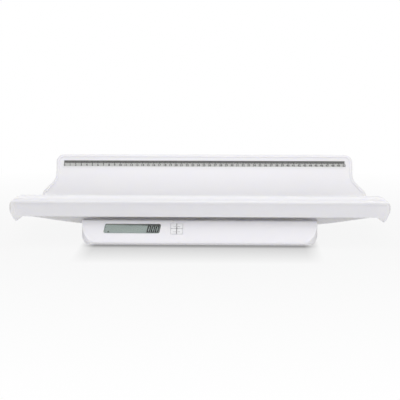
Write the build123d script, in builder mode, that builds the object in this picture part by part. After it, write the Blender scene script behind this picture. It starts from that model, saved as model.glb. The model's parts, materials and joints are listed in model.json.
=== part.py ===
from build123d import *
import os
from math import cos, radians, sin, sqrt, tan

os.makedirs("parts", exist_ok=True)

# Digital baby weighing scale, in millimetres. X runs along the tray, Y towards its high back
# wall, Z up. The origin is on the table, under the middle of the scale's outline.

# ---- driving dimensions: outline ----
tray_length = 600.0  # over both end grips
overall_depth = 328.0  # from the console nose to the back rim
half_length = tray_length / 2
front = -overall_depth / 2
rear = overall_depth / 2

# ---- driving dimensions: base housing ----
base_width = 372.0
base_rear = rear - 46.0
base_bottom = 4.2
parting_height = 7.6
tongue_height = 1.5
tongue_thickness = 1.0
tongue_gap = 0.1
deck_front = front + 69.0
console_back = front + 42.0
crease_height = 9.0
face_slope = 54.5
housing_wall = 2.4
form_overlap = 0.02  # the rounded outlines run this far past the flat faces they meet
corner_front = 22.0
corner_rear = 32.0
corner_under = 15.0
nose_radius = 3.0
crease_radius = 3.0
console_radius = 5.0
deck_radius = 8.0
rear_radius = 5.0

# ---- driving dimensions: battery bay ----
bay_centre = (0.0, rear - 108.0)
battery_radius = 5.25
battery_length = 44.5
battery_pitch = 2 * battery_radius + 0.7
battery_count = 4
bay_spring_room = 6.0
bay_side_room = 1.0
bay_wall = 1.2
bay_ledge = 3.2
bay_ledge_height = 2.0
door_thickness = 2.0
door_gap = 0.4
door_pin_radius = 0.8
door_pin_length = 2.6
door_pin_gap = 0.1
door_pin_slot = 1.3  # mouth of the socket that the pin snaps into from below
door_corner = 2.0
door_hinge_round = 0.95
door_seat_gap = 0.3
battery_clearance = 0.15
bay_height = 2 * (battery_radius + battery_clearance)
bay_roof = base_bottom + housing_wall + bay_height + bay_wall
bay_roof_gap = 0.5
deck_height = bay_roof + bay_roof_gap + housing_wall
console_top = deck_height + 19.0
battery_edge = 0.5
nub_length = 1.2
nub_radius = 1.9
contact_thickness = 0.5
contact_side = 8.0
spring_turns = 3
spring_shares = (0.1, 0.6, 0.9)  # root, crest and next root of a coil, in shares of its pitch
spring_radius_small = 1.6
spring_radius_large = 3.0
spring_wire = 0.8
catch_width = 3.0
catch_thickness = 1.2
catch_height = 1.8
groove_field = 8.0
groove_pitch = 2.2
groove_count = 4
groove_length = 16.0
groove_width = 1.0
groove_depth = 0.5

# ---- driving dimensions: tray ----
deck_gap = 2.0  # between the deck and the underside of the trough
tray_wall = 3.0
trough_floor = deck_height + deck_gap + tray_wall
lip_height = trough_floor + 54.1
lip_width = 16.0  # flat and rolls on top of the front lip
lip_setback = 7.0  # the lip stands this far behind the console nose
lip_roll_front = 9.0
lip_roll_back = 8.0
apron_bottom = trough_floor + 20.8
apron_slant = 3.0
front_wall_angle = 47.0
front_bend = 45.0
back_bend = 40.0
back_height = trough_floor + 91.2
back_lean = 18.0  # of the back wall, from upright
rim_radius = 3.0
flat_floor_half = half_length - 150.0  # the trough floor is level this far each side of the middle
# x, floor height and bend into the back wall: the trough rises and tightens towards its ends
floor_stations = (
    (half_length - 112.0, trough_floor + 2.0, 36.0),
    (half_length - 65.0, trough_floor + 8.6, 27.0),
    (half_length - 17.0, trough_floor + 16.6, 16.0),
)
corner_cut_y = 20.0  # the back wall's corners are cut behind this y
corner_cut_z = 10.0
cut_margin = 5.0  # cuts run this far past the surface they open
back_top_half = half_length - 37.0  # half length of the back wall's upper part
back_corner_radius = 12.0
shoulder_top = trough_floor + 48.0
shoulder_foot = trough_floor + 22.0
shoulder_foot_half = half_length - 12.0
rim_spread = 20.0  # how far the rim follows the shoulder outwards
rim_foot = trough_floor + 28.0
rim_bend = 25.0
shoulder_bend = 25.0
shoulder_foot_bend = 8.0
apron_recess = 1.4  # the apron lies this far behind the lip's rolled edge
lip_band = 11.7  # height of the rolled band above the recess
recess_top_half = half_length - 7.0  # where the recess ends, under the lip and at the apron's foot
recess_foot_half = half_length - 10.5
grip_overlap = 4.6  # the grips start this far inside the trough's end
grip_sink = 0.4  # their upper surface lies this much lower than the trough's
grip_wall = 2.2
grip_side_angle = 40.0  # how steeply the side falls below the flat
grip_under_angle = 28.0  # how far the hooked edge turns back under
grip_widest_share = 0.44  # of the drop, down to the widest point
grip_shoulder_share = 0.33  # radii, in shares of the drop
grip_bulge_share = 0.33
grip_under_share = 0.44
grip_tip_radius = 4.0  # of the closed front end's lower tip
grip_lip_bottom = trough_floor + 12.4
grip_bottom = trough_floor + 7.6
grip_plan_corner = 9.0
grip_stations = [front + behind for behind in (19.0, 22.0, 26.0, 34.0, 43.0, 52.0, 61.0, 69.0, 78.0)]
# y, height of the hooked edge, and pull back from the full length
grip_rear = (
    (rear - 74.0, grip_bottom, 0.0),
    (rear - 56.0, grip_bottom, 2.0),
    (rear - 42.0, trough_floor + 8.2, 6.0),
    (rear - 33.0, trough_floor + 10.0, 9.5),
    (rear - 26.0, trough_floor + 16.2, 12.5),
)
# the rim's run under the grip: outwards and forwards of its lower end, and above the end floor
rim_tail_way = ((3.6, 2.0, 5.2), (4.6, 8.0, -1.8), (4.2, 15.0, -4.6))

# ---- driving dimensions: console ----
control_line = 23.96  # from the crease up the sloped face to the middle of window and keys
window_centre = 80.2 - base_width / 2
window_length = 88.6
window_height = 17.0
window_slant = 2.8
window_corner = 3.0
window_ledge = 1.6
lens_thickness = 1.4
lens_sink = 0.2
lcd_length = 90.0
lcd_height = 15.0
lcd_thickness = 2.2
key_block_centre = -35.5
key_pitch = 10.0
key_gap = 0.8
key_side_gap = 0.3
key_corner = 1.0
key_edge = 0.4
key_stand = 0.8
key_travel = 0.6
key_flange = 0.7
key_flange_thickness = 1.2
board_depth = 8.0  # from the face down to the circuit board
board_thickness = 1.6
board_ends = (25.0 - base_width / 2, -14.0)
board_height = 26.0
board_corner = 1.5
board_screw_radius = 1.3
board_boss_radius = 3.0
board_screw_places = (
    (board_ends[0] + 4.0, 0.0),
    (key_block_centre - 18.5, -9.0),
    (key_block_centre - 18.5, 9.0),
    (board_ends[1] - 3.0, 0.0),
)
board_screw_depth = 4.5
board_screw_head = 2.3
board_screw_head_height = 1.4

lens_gap = 0.15
frame_wall = 2.6
frame_gap = 0.25
frame_corner = 1.5
strip_width = 1.8
chip_x = window_centre + 14.0
chip_side = 12.0
chip_height = 1.2
chip_edge = 0.3
buzzer_x = window_centre - 24.0
buzzer_radius = 6.0
buzzer_hole = 1.0
buzzer_height = 4.0
mat_side = 19.0
mat_corner = 2.0
mat_thickness = 0.8
dome_radius = 3.0
dome_height = 1.4
dome_taper = 35.0
key_free = 0.3  # left between a stem and its dome when the key is down
key_stem_radius = 1.8

# ---- driving dimensions: feet and load cells ----
foot_x = base_width / 2 - 48.0
foot_front = front + 44.0
foot_rear = rear - 84.0
foot_places = {
    "front_left": (-foot_x, foot_front),
    "front_right": (foot_x, foot_front),
    "rear_left": (-foot_x, foot_rear),
    "rear_right": (foot_x, foot_rear),
}
foot_pad_radius = 13.0
foot_pad_thickness = 2.6
foot_pad_inset = 1.0
foot_cup_radius = 15.0
foot_stem_radius = 7.0
foot_hole_gap = 1.0
cell_side = 34.0
cell_thickness = 2.0
cell_height = 9.4
cell_window = 25.0
cell_tongue = 16.0
cell_tongue_neck = 7.0
cell_neck_end = 3.0  # the neck stops this far inside the cell's edge
cell_corner = 2.0
cell_window_corner = 1.5
cell_gap = 0.3
foot_pad_gap = 0.2
foot_pad_edge = 0.7
foot_cup_top = 5.6
foot_cup_edge = 1.0
holder_side = 42.0
holder_corner = 3.0
holder_top = 14.2
holder_window = 24.0
holder_ear = 9.0
holder_screw_radius = 1.4
holder_screw_bite = 1.6
holder_ear_width = 10.0
holder_ear_height = 3.0
holder_screw_head = 2.4
holder_screw_head_height = 1.4

# ---- driving dimensions: tray seats, ribs and screws ----
seat_x = 90.0
seat_places = [(x, y) for y in (front + 124.0, rear - 89.0) for x in (-seat_x, seat_x)]
seat_depth = 3.0
seat_radius = 14.0
seat_gap = 2.0
seat_floor = 2.0
seat_pad_thickness = 1.5
seat_pad_gap = 3.0
rib_thickness = 1.6
rib_depth = 3.0
screw_radius = 1.5
screw_hole_gap = 0.1
screw_head_radius = 2.8
screw_head_height = 1.8
screw_boss_radius = 4.5
screw_places = [
    (side * x, y)
    for x, y in ((base_width / 2 - 17.0, -10.0), (60.0, front + 86.0), (75.0, rear - 62.0))
    for side in (-1, 1)
]
screw_length = 11.0
boss_joint_height = 12.0
boss_step = 0.5  # the upper posts are this much thinner than the lower bosses
screw_depth = 7.0  # of the hole in an upper post
screw_head_gap = 0.3
deck_ribs_x = (10.0 - foot_x, -48.0, 48.0, foot_x - 10.0)
deck_ribs_y = (-12.0,)
floor_ribs_x = (-100.0, -45.0, 45.0, 100.0)
floor_ribs_y = (-60.0, 8.0)
rib_front = front + 86.0
rib_rear = rear - 56.0
rib_reach = base_width / 2 - 33.0

# ---- driving dimensions: ruler ----
ruler_length = 2 * (back_top_half - 10.0)
ruler_height = 13.0
ruler_thickness = 0.4
ruler_corner = 1.0
ruler_drop = 8.6  # from the rim's middle down to the ruler's upper edge

# ---- places worked out from the sizes above ----
rim_y = rear - rim_radius
rim_z = back_height - rim_radius
lip_front = front + lip_setback
lip_back = lip_front + lip_width
half_end = floor_stations[-1][0]
end_floor = floor_stations[-1][1]
end_bend = floor_stations[-1][2]
console_front = front + (console_top - crease_height) / tan(radians(face_slope))
slope_y = cos(radians(face_slope))
slope_z = sin(radians(face_slope))
face_plane = Plane(
    origin=(0, front + control_line * slope_y, crease_height + control_line * slope_z),
    x_dir=(1, 0, 0),
    z_dir=(0, -slope_z, slope_y),
)
rim_plane = Plane(
    origin=(0, rim_y, rim_z),
    x_dir=(1, 0, 0),
    z_dir=(0, -cos(radians(back_lean)), sin(radians(back_lean))),
)
rim_side = back_top_half - rim_radius / 2
back_corner_y = rim_y - (rim_z - rim_foot) * tan(radians(back_lean))  # of the rim at the shoulder's foot
holder_screw_places = [
    (x + side * (holder_side + holder_ear) / 2, y) for x, y in foot_places.values() for side in (-1, 1)
]
seat_bottom = deck_height - seat_depth
tray_foot_bottom = seat_bottom + seat_pad_thickness


def write_part(part, label):
    """Labels one finished piece and writes its file."""
    part.label = label
    export_step(part, "parts/" + label + ".step")


def wall_y(z):
    """Y of the back wall's inner surface at height z."""
    return rim_y - tray_wall / 2 * cos(radians(back_lean)) - (rim_z - z) * tan(radians(back_lean))


# ============ tray ============


def trough_slice(station, floor_z, bend):
    """One slice of the tray sheet: apron, rolled lip, front wall, floor and back wall."""
    front_foot = lip_back + (lip_height - floor_z) / tan(radians(front_wall_angle))
    with BuildSketch(Plane.YZ.offset(station)) as trough:
        with BuildLine():
            FilletPolyline(
                (lip_front + apron_slant, apron_bottom),
                (lip_front, lip_height),
                (lip_back, lip_height),
                (front_foot, floor_z),
                (wall_y(floor_z), floor_z),
                (wall_y(rim_z), rim_z),
                radius=(lip_roll_front, lip_roll_back, front_bend, bend),
            )
            offset(amount=tray_wall, side=Side.RIGHT, closed=True)
        make_face()
    return trough.sketch


def end_height(y):
    """Height of the sheet's upper surface at the trough's end, y from the lip to the back wall."""
    slope = radians(front_wall_angle)
    roll_end = lip_back - lip_roll_back * tan(slope / 2)
    front_foot = lip_back + (lip_height - end_floor) / tan(slope)
    front_reach = front_bend * tan(slope / 2)
    back_centre = wall_y(end_floor) - end_bend * tan(radians((90 - back_lean) / 2))
    if y < roll_end:
        return lip_height
    if y < roll_end + lip_roll_back * sin(slope):
        return lip_height - lip_roll_back + sqrt(lip_roll_back**2 - (y - roll_end) ** 2)
    if y < front_foot - front_reach * cos(slope):
        return lip_height - (y - lip_back) * tan(slope)
    if y < front_foot + front_reach:
        return end_floor + front_bend - sqrt(front_bend**2 - (front_foot + front_reach - y) ** 2)
    if y < back_centre:
        return end_floor
    return end_floor + end_bend - sqrt(end_bend**2 - (y - back_centre) ** 2)


def grip_slice(y, bottom, pull, hollow=True):
    """A slice across an end grip: flat, shoulder, side, bulge and hooked edge."""
    top = end_height(y) - grip_sink
    drop = top - bottom
    side_turn = radians(grip_side_angle)
    under_turn = radians(grip_under_angle)
    shoulder_radius = grip_shoulder_share * drop
    bulge_radius = grip_bulge_share * drop
    under_radius = grip_under_share * drop
    side_fall = (grip_widest_share * drop - shoulder_radius * (1 - cos(side_turn))
                 - bulge_radius * cos(side_turn))
    side_length = side_fall / sin(side_turn)
    width = (shoulder_radius * sin(side_turn) + side_length * cos(side_turn)
             + bulge_radius * (1 - sin(side_turn)))
    tip_length = ((1 - grip_widest_share) * drop - under_radius * sin(under_turn)) / cos(under_turn)
    start = half_end - grip_overlap
    with BuildSketch(Plane.XZ.offset(-y)) as grip:
        with BuildLine():
            flat = Line((start, top), (half_length - pull - width, top))
            shoulder = JernArc(flat @ 1, flat % 1, shoulder_radius, -grip_side_angle)
            side = Line(shoulder @ 1, (shoulder @ 1) + (shoulder % 1) * side_length)
            bulge = JernArc(side @ 1, side % 1, bulge_radius, grip_side_angle - 90)
            under = JernArc(bulge @ 1, bulge % 1, under_radius, -grip_under_angle)
            tip = Line(under @ 1, (under @ 1) + (under % 1) * tip_length)
            if hollow:
                offset(amount=grip_wall, side=Side.RIGHT, closed=True)
            else:
                Line(tip @ 1, (start, apron_bottom))
                Line((start, apron_bottom), flat @ 0)
        make_face()
        if not hollow:
            fillet(grip.vertices().sort_by(Axis.Y)[0], radius=grip_tip_radius)
    return grip.sketch


def front_bottom(y):
    """Height of the grip's hooked edge, a straight run down from the lip to the level part."""
    share = (y - grip_stations[0]) / (grip_stations[-1] - grip_stations[0])
    return grip_lip_bottom + share * (grip_bottom - grip_lip_bottom)


# the front end of a grip is closed: apron and lip run on, rounded in plan and cut to the grip's outline
block_back = grip_stations[0]
apron_lean = apron_slant / (lip_height - apron_bottom)
band_bottom = lip_height - lip_band

with BuildPart() as grip_block:
    with BuildSketch(Plane.YZ.offset(half_end - grip_overlap)):
        with BuildLine():
            FilletPolyline(
                (lip_front + grip_sink + apron_lean * lip_height, 0),
                (lip_front + grip_sink, lip_height - grip_sink),
                (block_back, lip_height - grip_sink),
                (block_back, 0),
                radius=(0, lip_roll_front, 0, 0),
                close=True,
            )
        make_face()
    extrude(amount=half_length - half_end + grip_overlap)
    extrude(grip_slice(block_back, grip_lip_bottom, 0, hollow=False), amount=block_back - lip_front,
            mode=Mode.INTERSECT)
    with BuildSketch(Plane.XY):
        with BuildLine():
            FilletPolyline(
                (0, lip_front),
                (half_length, lip_front),
                (half_length, block_back),
                (0, block_back),
                radius=(0, grip_plan_corner, 0, 0),
                close=True,
            )
        make_face()
    extrude(amount=back_height, mode=Mode.INTERSECT)

# what is cut from the apron, as far as the grip's rounded end
with BuildPart() as apron_cut:
    with BuildSketch(Plane.YZ):
        with BuildLine():
            Polyline(
                (lip_front - apron_recess, band_bottom),
                (lip_front + apron_recess + apron_lean * lip_band, band_bottom - apron_recess / 2),
                (lip_front + apron_recess + apron_slant, apron_bottom),
                (lip_front + apron_recess + 2 * apron_slant, grip_lip_bottom - cut_margin),
                (lip_front - apron_recess, grip_lip_bottom - cut_margin),
                close=True,
            )
        make_face()
    extrude(amount=half_length)
    with BuildSketch(Plane.XZ):
        with BuildLine():
            Polyline(
                (0, lip_height),
                (recess_top_half, lip_height),
                (recess_top_half, band_bottom),
                (recess_foot_half, apron_bottom),
                (recess_foot_half, grip_lip_bottom - 2 * cut_margin),
                (0, grip_lip_bottom - 2 * cut_margin),
                close=True,
            )
        make_face()
    extrude(amount=overall_depth, both=True, mode=Mode.INTERSECT)

with BuildPart() as tray:
    extrude(trough_slice(0, trough_floor, back_bend), amount=flat_floor_half)
    level_end = (flat_floor_half, trough_floor, back_bend)
    loft([trough_slice(*station) for station in (level_end,) + floor_stations])
    # the back wall's corner: rounded top, straight side, then a shoulder that runs out to the grip
    with BuildSketch(Plane.XZ.offset(-corner_cut_y)):
        with BuildLine():
            FilletPolyline(
                (0, back_height + cut_margin),
                (0, back_height),
                (back_top_half, back_height),
                (back_top_half, shoulder_top),
                (shoulder_foot_half, shoulder_foot),
                (shoulder_foot_half, corner_cut_z),
                (tray_length, corner_cut_z),
                (tray_length, back_height + cut_margin),
                radius=(0, 0, back_corner_radius, shoulder_bend, shoulder_foot_bend, 0, 0, 0),
                close=True,
            )
        make_face()
    extrude(amount=-overall_depth, mode=Mode.SUBTRACT)
    add(grip_block)
    loft([grip_slice(y, front_bottom(y), 0) for y in grip_stations])
    loft([grip_slice(grip_stations[-1], grip_bottom, 0), grip_slice(*grip_rear[0])], ruled=True)
    loft([grip_slice(*place) for place in grip_rear])
    # the thickened rim follows the top, the rounded corner and the shoulder, in the wall's own plane
    with BuildLine(rim_plane) as rim_line:
        FilletPolyline(
            (0, 0),
            (rim_side, 0),
            (rim_side, (shoulder_top - rim_z) / cos(radians(back_lean))),
            (rim_side + rim_spread, (rim_foot - rim_z) / cos(radians(back_lean))),
            radius=(back_corner_radius - rim_radius / 2, rim_bend),
        )
    with BuildSketch(Plane(origin=rim_line.line @ 0, z_dir=(1, 0, 0))):
        Circle(rim_radius)
    sweep(path=rim_line.line)
    # below the shoulder the rim bends forwards and runs out under the end grip
    with BuildLine() as rim_tail:
        rim_end_x = rim_side + rim_spread
        Spline(
            rim_line.line @ 1,
            *[(rim_end_x + out, back_corner_y - ahead, end_floor + up) for out, ahead, up in rim_tail_way],
            tangents=(rim_line.line % 1, (0, -1, 0)),
        )
    with BuildSketch(Plane(origin=rim_tail.line @ 0, z_dir=rim_tail.line % 0)):
        Circle(rim_radius)
    sweep(path=rim_tail.line)
    # the apron steps back under the lip
    add(apron_cut, mode=Mode.SUBTRACT)
    # feet that stand in the deck's recesses
    for x, y in seat_places:
        if x > 0:
            with BuildSketch(Plane.XY.offset(tray_foot_bottom)):
                with Locations((x, y)):
                    Circle(seat_radius - seat_gap)
            extrude(amount=trough_floor - tray_wall / 2 - tray_foot_bottom)
    mirror(about=Plane.YZ)

write_part(tray.part, "tray")

# ============ ruler strip, flat on the back wall ============

with BuildPart() as ruler_strip:
    with BuildSketch(rim_plane.offset(tray_wall / 2)):
        with Locations((0, -ruler_drop - ruler_height / 2)):
            RectangleRounded(ruler_length, ruler_height, ruler_corner)
    extrude(amount=ruler_thickness)

write_part(ruler_strip.part, "ruler_strip")

# ============ base housing ============


def plan_outline(inset):
    """The base seen from above, drawn in by inset."""
    with BuildSketch() as plan:
        with BuildLine():
            FilletPolyline(
                (-base_width / 2 + inset, front + inset - form_overlap),
                (base_width / 2 - inset, front + inset - form_overlap),
                (base_width / 2 - inset, base_rear - inset + form_overlap),
                (-base_width / 2 + inset, base_rear - inset + form_overlap),
                radius=(corner_front - inset, corner_front - inset, corner_rear - inset,
                        corner_rear - inset),
                close=True,
            )
        make_face()
    return plan.sketch


def housing_form(inset):
    """The closed form of the base, drawn in by inset: its side view, plan and front view meet."""
    with BuildPart() as form:
        with BuildSketch(Plane.YZ):
            with BuildLine():
                FilletPolyline(
                    (front, base_bottom),
                    (front, crease_height),
                    (console_front, console_top),
                    (console_back, console_top),
                    (deck_front, deck_height),
                    (base_rear, deck_height),
                    (base_rear, base_bottom),
                    radius=(nose_radius, crease_radius, console_radius, console_radius, deck_radius,
                            rear_radius, nose_radius),
                    close=True,
                )
            make_face()
            if inset:
                offset(amount=-inset, kind=Kind.INTERSECTION)
        extrude(amount=base_width, both=True)
        extrude(plan_outline(inset), amount=console_top + cut_margin, mode=Mode.INTERSECT)
        with BuildSketch(Plane.XZ):
            with BuildLine():
                FilletPolyline(
                    (inset - base_width / 2 - form_overlap, base_bottom + inset - form_overlap),
                    (base_width / 2 - inset + form_overlap, base_bottom + inset - form_overlap),
                    (base_width / 2 - inset + form_overlap, console_top + cut_margin),
                    (inset - base_width / 2 - form_overlap, console_top + cut_margin),
                    radius=(corner_under - inset, corner_under - inset, 0, 0),
                    close=True,
                )
            make_face()
        extrude(amount=overall_depth, both=True, mode=Mode.INTERSECT)
    return form.part


def shell_half(keep):
    """The moulded wall of the base on one side of the parting plane."""
    with BuildPart() as half:
        add(outer_form)
        add(inner_form, mode=Mode.SUBTRACT)
        split(bisect_by=Plane.XY.offset(parting_height), keep=keep)
    return half.part


def edge_outline(inset):
    """Outline of the base in the parting plane, drawn in by inset."""
    under_radius = corner_under - inset
    rise = parting_height - base_bottom - inset
    pull = under_radius - sqrt(under_radius**2 - (under_radius - rise) ** 2)
    with BuildSketch(Plane.XY.offset(parting_height)) as outline:
        add(plan_outline(inset))
        Rectangle(base_width - 2 * inset - 2 * pull, 2 * overall_depth, mode=Mode.INTERSECT)
    return outline.sketch


def slanted_window(length, height, corner):
    """A window outline that leans with its top to the right, on the console face."""
    with BuildSketch(face_plane) as window:
        with BuildLine():
            FilletPolyline(
                (window_centre - (length + window_slant) / 2, -height / 2),
                (window_centre + (length - window_slant) / 2, -height / 2),
                (window_centre + (length + window_slant) / 2, height / 2),
                (window_centre - (length - window_slant) / 2, height / 2),
                radius=corner,
                close=True,
            )
        make_face()
    return window.sketch


outer_form = housing_form(0)
inner_form = housing_form(housing_wall)
ceiling = deck_height - housing_wall
floor_top = base_bottom + housing_wall
lens_pocket = lens_thickness + lens_sink
key_opening = 2 * key_pitch - key_gap + 2 * key_side_gap

with BuildPart() as upper_housing:
    add(shell_half(Keep.TOP))
    # rebate for the tongue of the lower half
    extrude(edge_outline(housing_wall - tongue_thickness - tongue_gap), amount=tongue_height + tongue_gap,
            mode=Mode.SUBTRACT)
    # recesses in the deck for the tray's feet, each with its own floor
    with BuildSketch(Plane.XY.offset(seat_bottom - seat_floor)):
        with Locations(*seat_places):
            Circle(seat_radius + seat_floor)
    extrude(amount=deck_height - housing_wall / 2 - seat_bottom + seat_floor)
    with BuildSketch(Plane.XY.offset(seat_bottom)):
        with Locations(*seat_places):
            Circle(seat_radius)
    extrude(amount=seat_depth + cut_margin, mode=Mode.SUBTRACT)
    # posts for the housing screws
    with BuildSketch(Plane.XY.offset(boss_joint_height)):
        with Locations(*screw_places):
            Circle(screw_boss_radius - boss_step)
    extrude(amount=deck_height - housing_wall / 2 - boss_joint_height)
    with BuildSketch(Plane.XY.offset(boss_joint_height)):
        with Locations(*screw_places):
            Circle(screw_radius + screw_hole_gap)
    extrude(amount=screw_depth, mode=Mode.SUBTRACT)
    # ribs under the deck
    with BuildSketch(Plane.XY.offset(ceiling - rib_depth)):
        for x in deck_ribs_x:
            with Locations((x, (rib_front + rib_rear) / 2)):
                Rectangle(rib_thickness, rib_rear - rib_front)
        for y in deck_ribs_y:
            with Locations((0, y)):
                Rectangle(2 * rib_reach, rib_thickness)
    extrude(amount=rib_depth + housing_wall / 2)
    # display window: a shallow pocket for the lens and a smaller opening behind it
    extrude(slanted_window(window_length, window_height, window_corner), amount=-lens_pocket,
            mode=Mode.SUBTRACT)
    extrude(
        slanted_window(window_length - 2 * window_ledge, window_height - 2 * window_ledge,
                       window_corner - window_ledge),
        amount=-2 * housing_wall,
        mode=Mode.SUBTRACT,
    )
    # one opening for the block of four keys
    with BuildSketch(face_plane):
        with Locations((key_block_centre, 0)):
            RectangleRounded(key_opening, key_opening, key_corner + key_side_gap)
    extrude(amount=-2 * housing_wall, mode=Mode.SUBTRACT)
    # bosses behind the face that carry the display board
    with BuildSketch(face_plane.offset(-board_depth)):
        with Locations(*board_screw_places):
            Circle(board_boss_radius)
    extrude(amount=board_depth - housing_wall / 2)
    with BuildSketch(face_plane.offset(-board_depth)):
        with Locations(*board_screw_places):
            Circle(board_screw_radius + screw_hole_gap)
    extrude(amount=board_screw_depth, mode=Mode.SUBTRACT)

write_part(upper_housing.part, "upper_housing")

bay_x, bay_y = bay_centre
bay_width = battery_count * battery_pitch + 2 * bay_side_room
bay_length = battery_length + bay_spring_room
door_width = bay_width + 2 * bay_ledge
door_length = bay_length + 2 * bay_ledge
door_top = floor_top - door_seat_gap
door_axis_y = bay_y - door_length / 2 + door_thickness / 2
door_axis_z = door_top - door_thickness / 2

with BuildPart() as lower_housing:
    add(shell_half(Keep.BOTTOM))
    # tongue that stands up inside the upper half and centres it
    with BuildSketch(Plane.XY.offset(parting_height)):
        add(edge_outline(housing_wall - tongue_thickness))
        add(edge_outline(housing_wall), mode=Mode.SUBTRACT)
    extrude(amount=tongue_height)
    # bosses that the screws pass through from below
    with BuildSketch(Plane.XY.offset(base_bottom)):
        with Locations(*screw_places):
            Circle(screw_boss_radius)
    extrude(amount=boss_joint_height - base_bottom)
    with BuildSketch(Plane.XY.offset(base_bottom)):
        with Locations(*screw_places):
            Circle(screw_head_radius + screw_head_gap)
    extrude(amount=housing_wall, mode=Mode.SUBTRACT)
    with BuildSketch(Plane.XY.offset(base_bottom)):
        with Locations(*screw_places):
            Circle(screw_radius + screw_hole_gap)
    extrude(amount=boss_joint_height - base_bottom, mode=Mode.SUBTRACT)
    # stiffening ribs on the floor, clear of the bay and the load cells
    with BuildSketch(Plane.XY.offset(floor_top - housing_wall / 2)):
        for x in floor_ribs_x:
            with Locations((x, (rib_front + rib_rear) / 2)):
                Rectangle(rib_thickness, rib_rear - rib_front)
        for y in floor_ribs_y:
            with Locations((0, y)):
                Rectangle(2 * rib_reach, rib_thickness)
    extrude(amount=rib_depth + housing_wall / 2)
    # battery bay: a ledge round the mouth, four walls and a roof
    with BuildSketch(Plane.XY.offset(floor_top - housing_wall / 2)):
        with Locations(bay_centre):
            Rectangle(door_width + 2 * bay_ledge, door_length + 2 * bay_ledge)
    extrude(amount=bay_ledge_height + housing_wall / 2)
    with BuildSketch(Plane.XY.offset(floor_top)):
        with Locations(bay_centre):
            Rectangle(bay_width + 2 * bay_wall, bay_length + 2 * bay_wall)
    extrude(amount=bay_roof - floor_top)
    with BuildSketch(Plane.XY.offset(base_bottom)):
        with Locations(bay_centre):
            Rectangle(bay_width, bay_length)
    extrude(amount=bay_roof - bay_wall - base_bottom, mode=Mode.SUBTRACT)
    with BuildSketch(Plane.XY.offset(base_bottom)):
        with Locations(bay_centre):
            RectangleRounded(door_width + 2 * door_gap, door_length + 2 * door_gap, door_corner + door_gap)
    extrude(amount=housing_wall, mode=Mode.SUBTRACT)
    # sockets for the door's hinge pins
    with BuildSketch(Plane.YZ):
        with Locations((door_axis_y, door_axis_z)):
            Circle(door_pin_radius + door_pin_gap)
    extrude(amount=door_width / 2 + door_pin_length + door_gap, both=True, mode=Mode.SUBTRACT)
    with BuildSketch(Plane.XY.offset(base_bottom)):
        with Locations((bay_x, door_axis_y)):
            Rectangle(door_width + 2 * (door_pin_length + door_gap), door_pin_slot)
    extrude(amount=door_axis_z - base_bottom, mode=Mode.SUBTRACT)
    # holes for the four feet, and blind holes for the holder screws
    with BuildSketch(Plane.XY.offset(base_bottom)):
        with Locations(*foot_places.values()):
            Circle(foot_cup_radius + foot_hole_gap)
    extrude(amount=housing_wall, mode=Mode.SUBTRACT)
    with BuildSketch(Plane.XY.offset(floor_top)):
        with Locations(*holder_screw_places):
            Circle(holder_screw_radius)
    extrude(amount=-holder_screw_bite, mode=Mode.SUBTRACT)

write_part(lower_housing.part, "lower_housing")

# ============ battery door, cells and contacts ============

with BuildPart() as battery_door:
    with BuildSketch(Plane.XY.offset(door_top - door_thickness)):
        with Locations(bay_centre):
            RectangleRounded(door_width, door_length, door_corner)
    extrude(amount=door_thickness)
    hinge_edges = battery_door.edges().filter_by(Axis.X).group_by(Axis.Y)[0]
    fillet(hinge_edges, radius=door_hinge_round)
    # pins at both ends of the hinge edge
    with BuildSketch(Plane.YZ.offset(-door_width / 2 - door_pin_length)):
        with Locations((door_axis_y, door_axis_z)):
            Circle(door_pin_radius)
    extrude(amount=door_width + 2 * door_pin_length)
    # spring catch that stands up inside the bay, and grip grooves under the thumb
    with BuildSketch(Plane.XY.offset(door_top - door_thickness / 2)):
        with Locations((bay_x, bay_y + bay_length / 2 - catch_thickness)):
            Rectangle(catch_width, catch_thickness)
    extrude(amount=door_thickness / 2 + catch_height)
    with BuildSketch(Plane.XY.offset(door_top - door_thickness)):
        with Locations((bay_x, bay_y + door_length / 2 - groove_field)):
            with GridLocations(0, groove_pitch, 1, groove_count):
                SlotOverall(groove_length, groove_width)
    extrude(amount=groove_depth, mode=Mode.SUBTRACT)

write_part(battery_door.part, "battery_door")

cell_z = bay_roof - bay_wall - battery_radius - battery_clearance
bay_front = bay_y - bay_length / 2
bay_back = bay_y + bay_length / 2
first_cell_x = bay_x - (battery_count - 1) / 2 * battery_pitch

spring_list = []
plate_list = []
for index in range(battery_count):
    turned = index % 2 == 1
    x = first_cell_x + index * battery_pitch
    # the nub end rests on a flat contact, the other end on a coil
    start = bay_back - contact_thickness if turned else bay_front + contact_thickness
    way = -1 if turned else 1
    with BuildPart() as cell:
        with BuildSketch(Plane(origin=(x, start, cell_z), x_dir=(1, 0, 0), z_dir=(0, way, 0))):
            Circle(nub_radius)
        extrude(amount=nub_length)
        shoulder = (x, start + way * nub_length, cell_z)
        with BuildSketch(Plane(origin=shoulder, x_dir=(1, 0, 0), z_dir=(0, way, 0))):
            Circle(battery_radius)
        extrude(amount=battery_length - nub_length)
        chamfer(cell.edges().filter_by(GeomType.CIRCLE).group_by(SortBy.RADIUS)[-1], length=battery_edge)
    write_part(cell.part, "battery_" + ("first", "second", "third", "fourth")[index])
    spring_list.append((x, start + way * battery_length, way))
    plate_list.append((x, start - way * contact_thickness, way))

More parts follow.
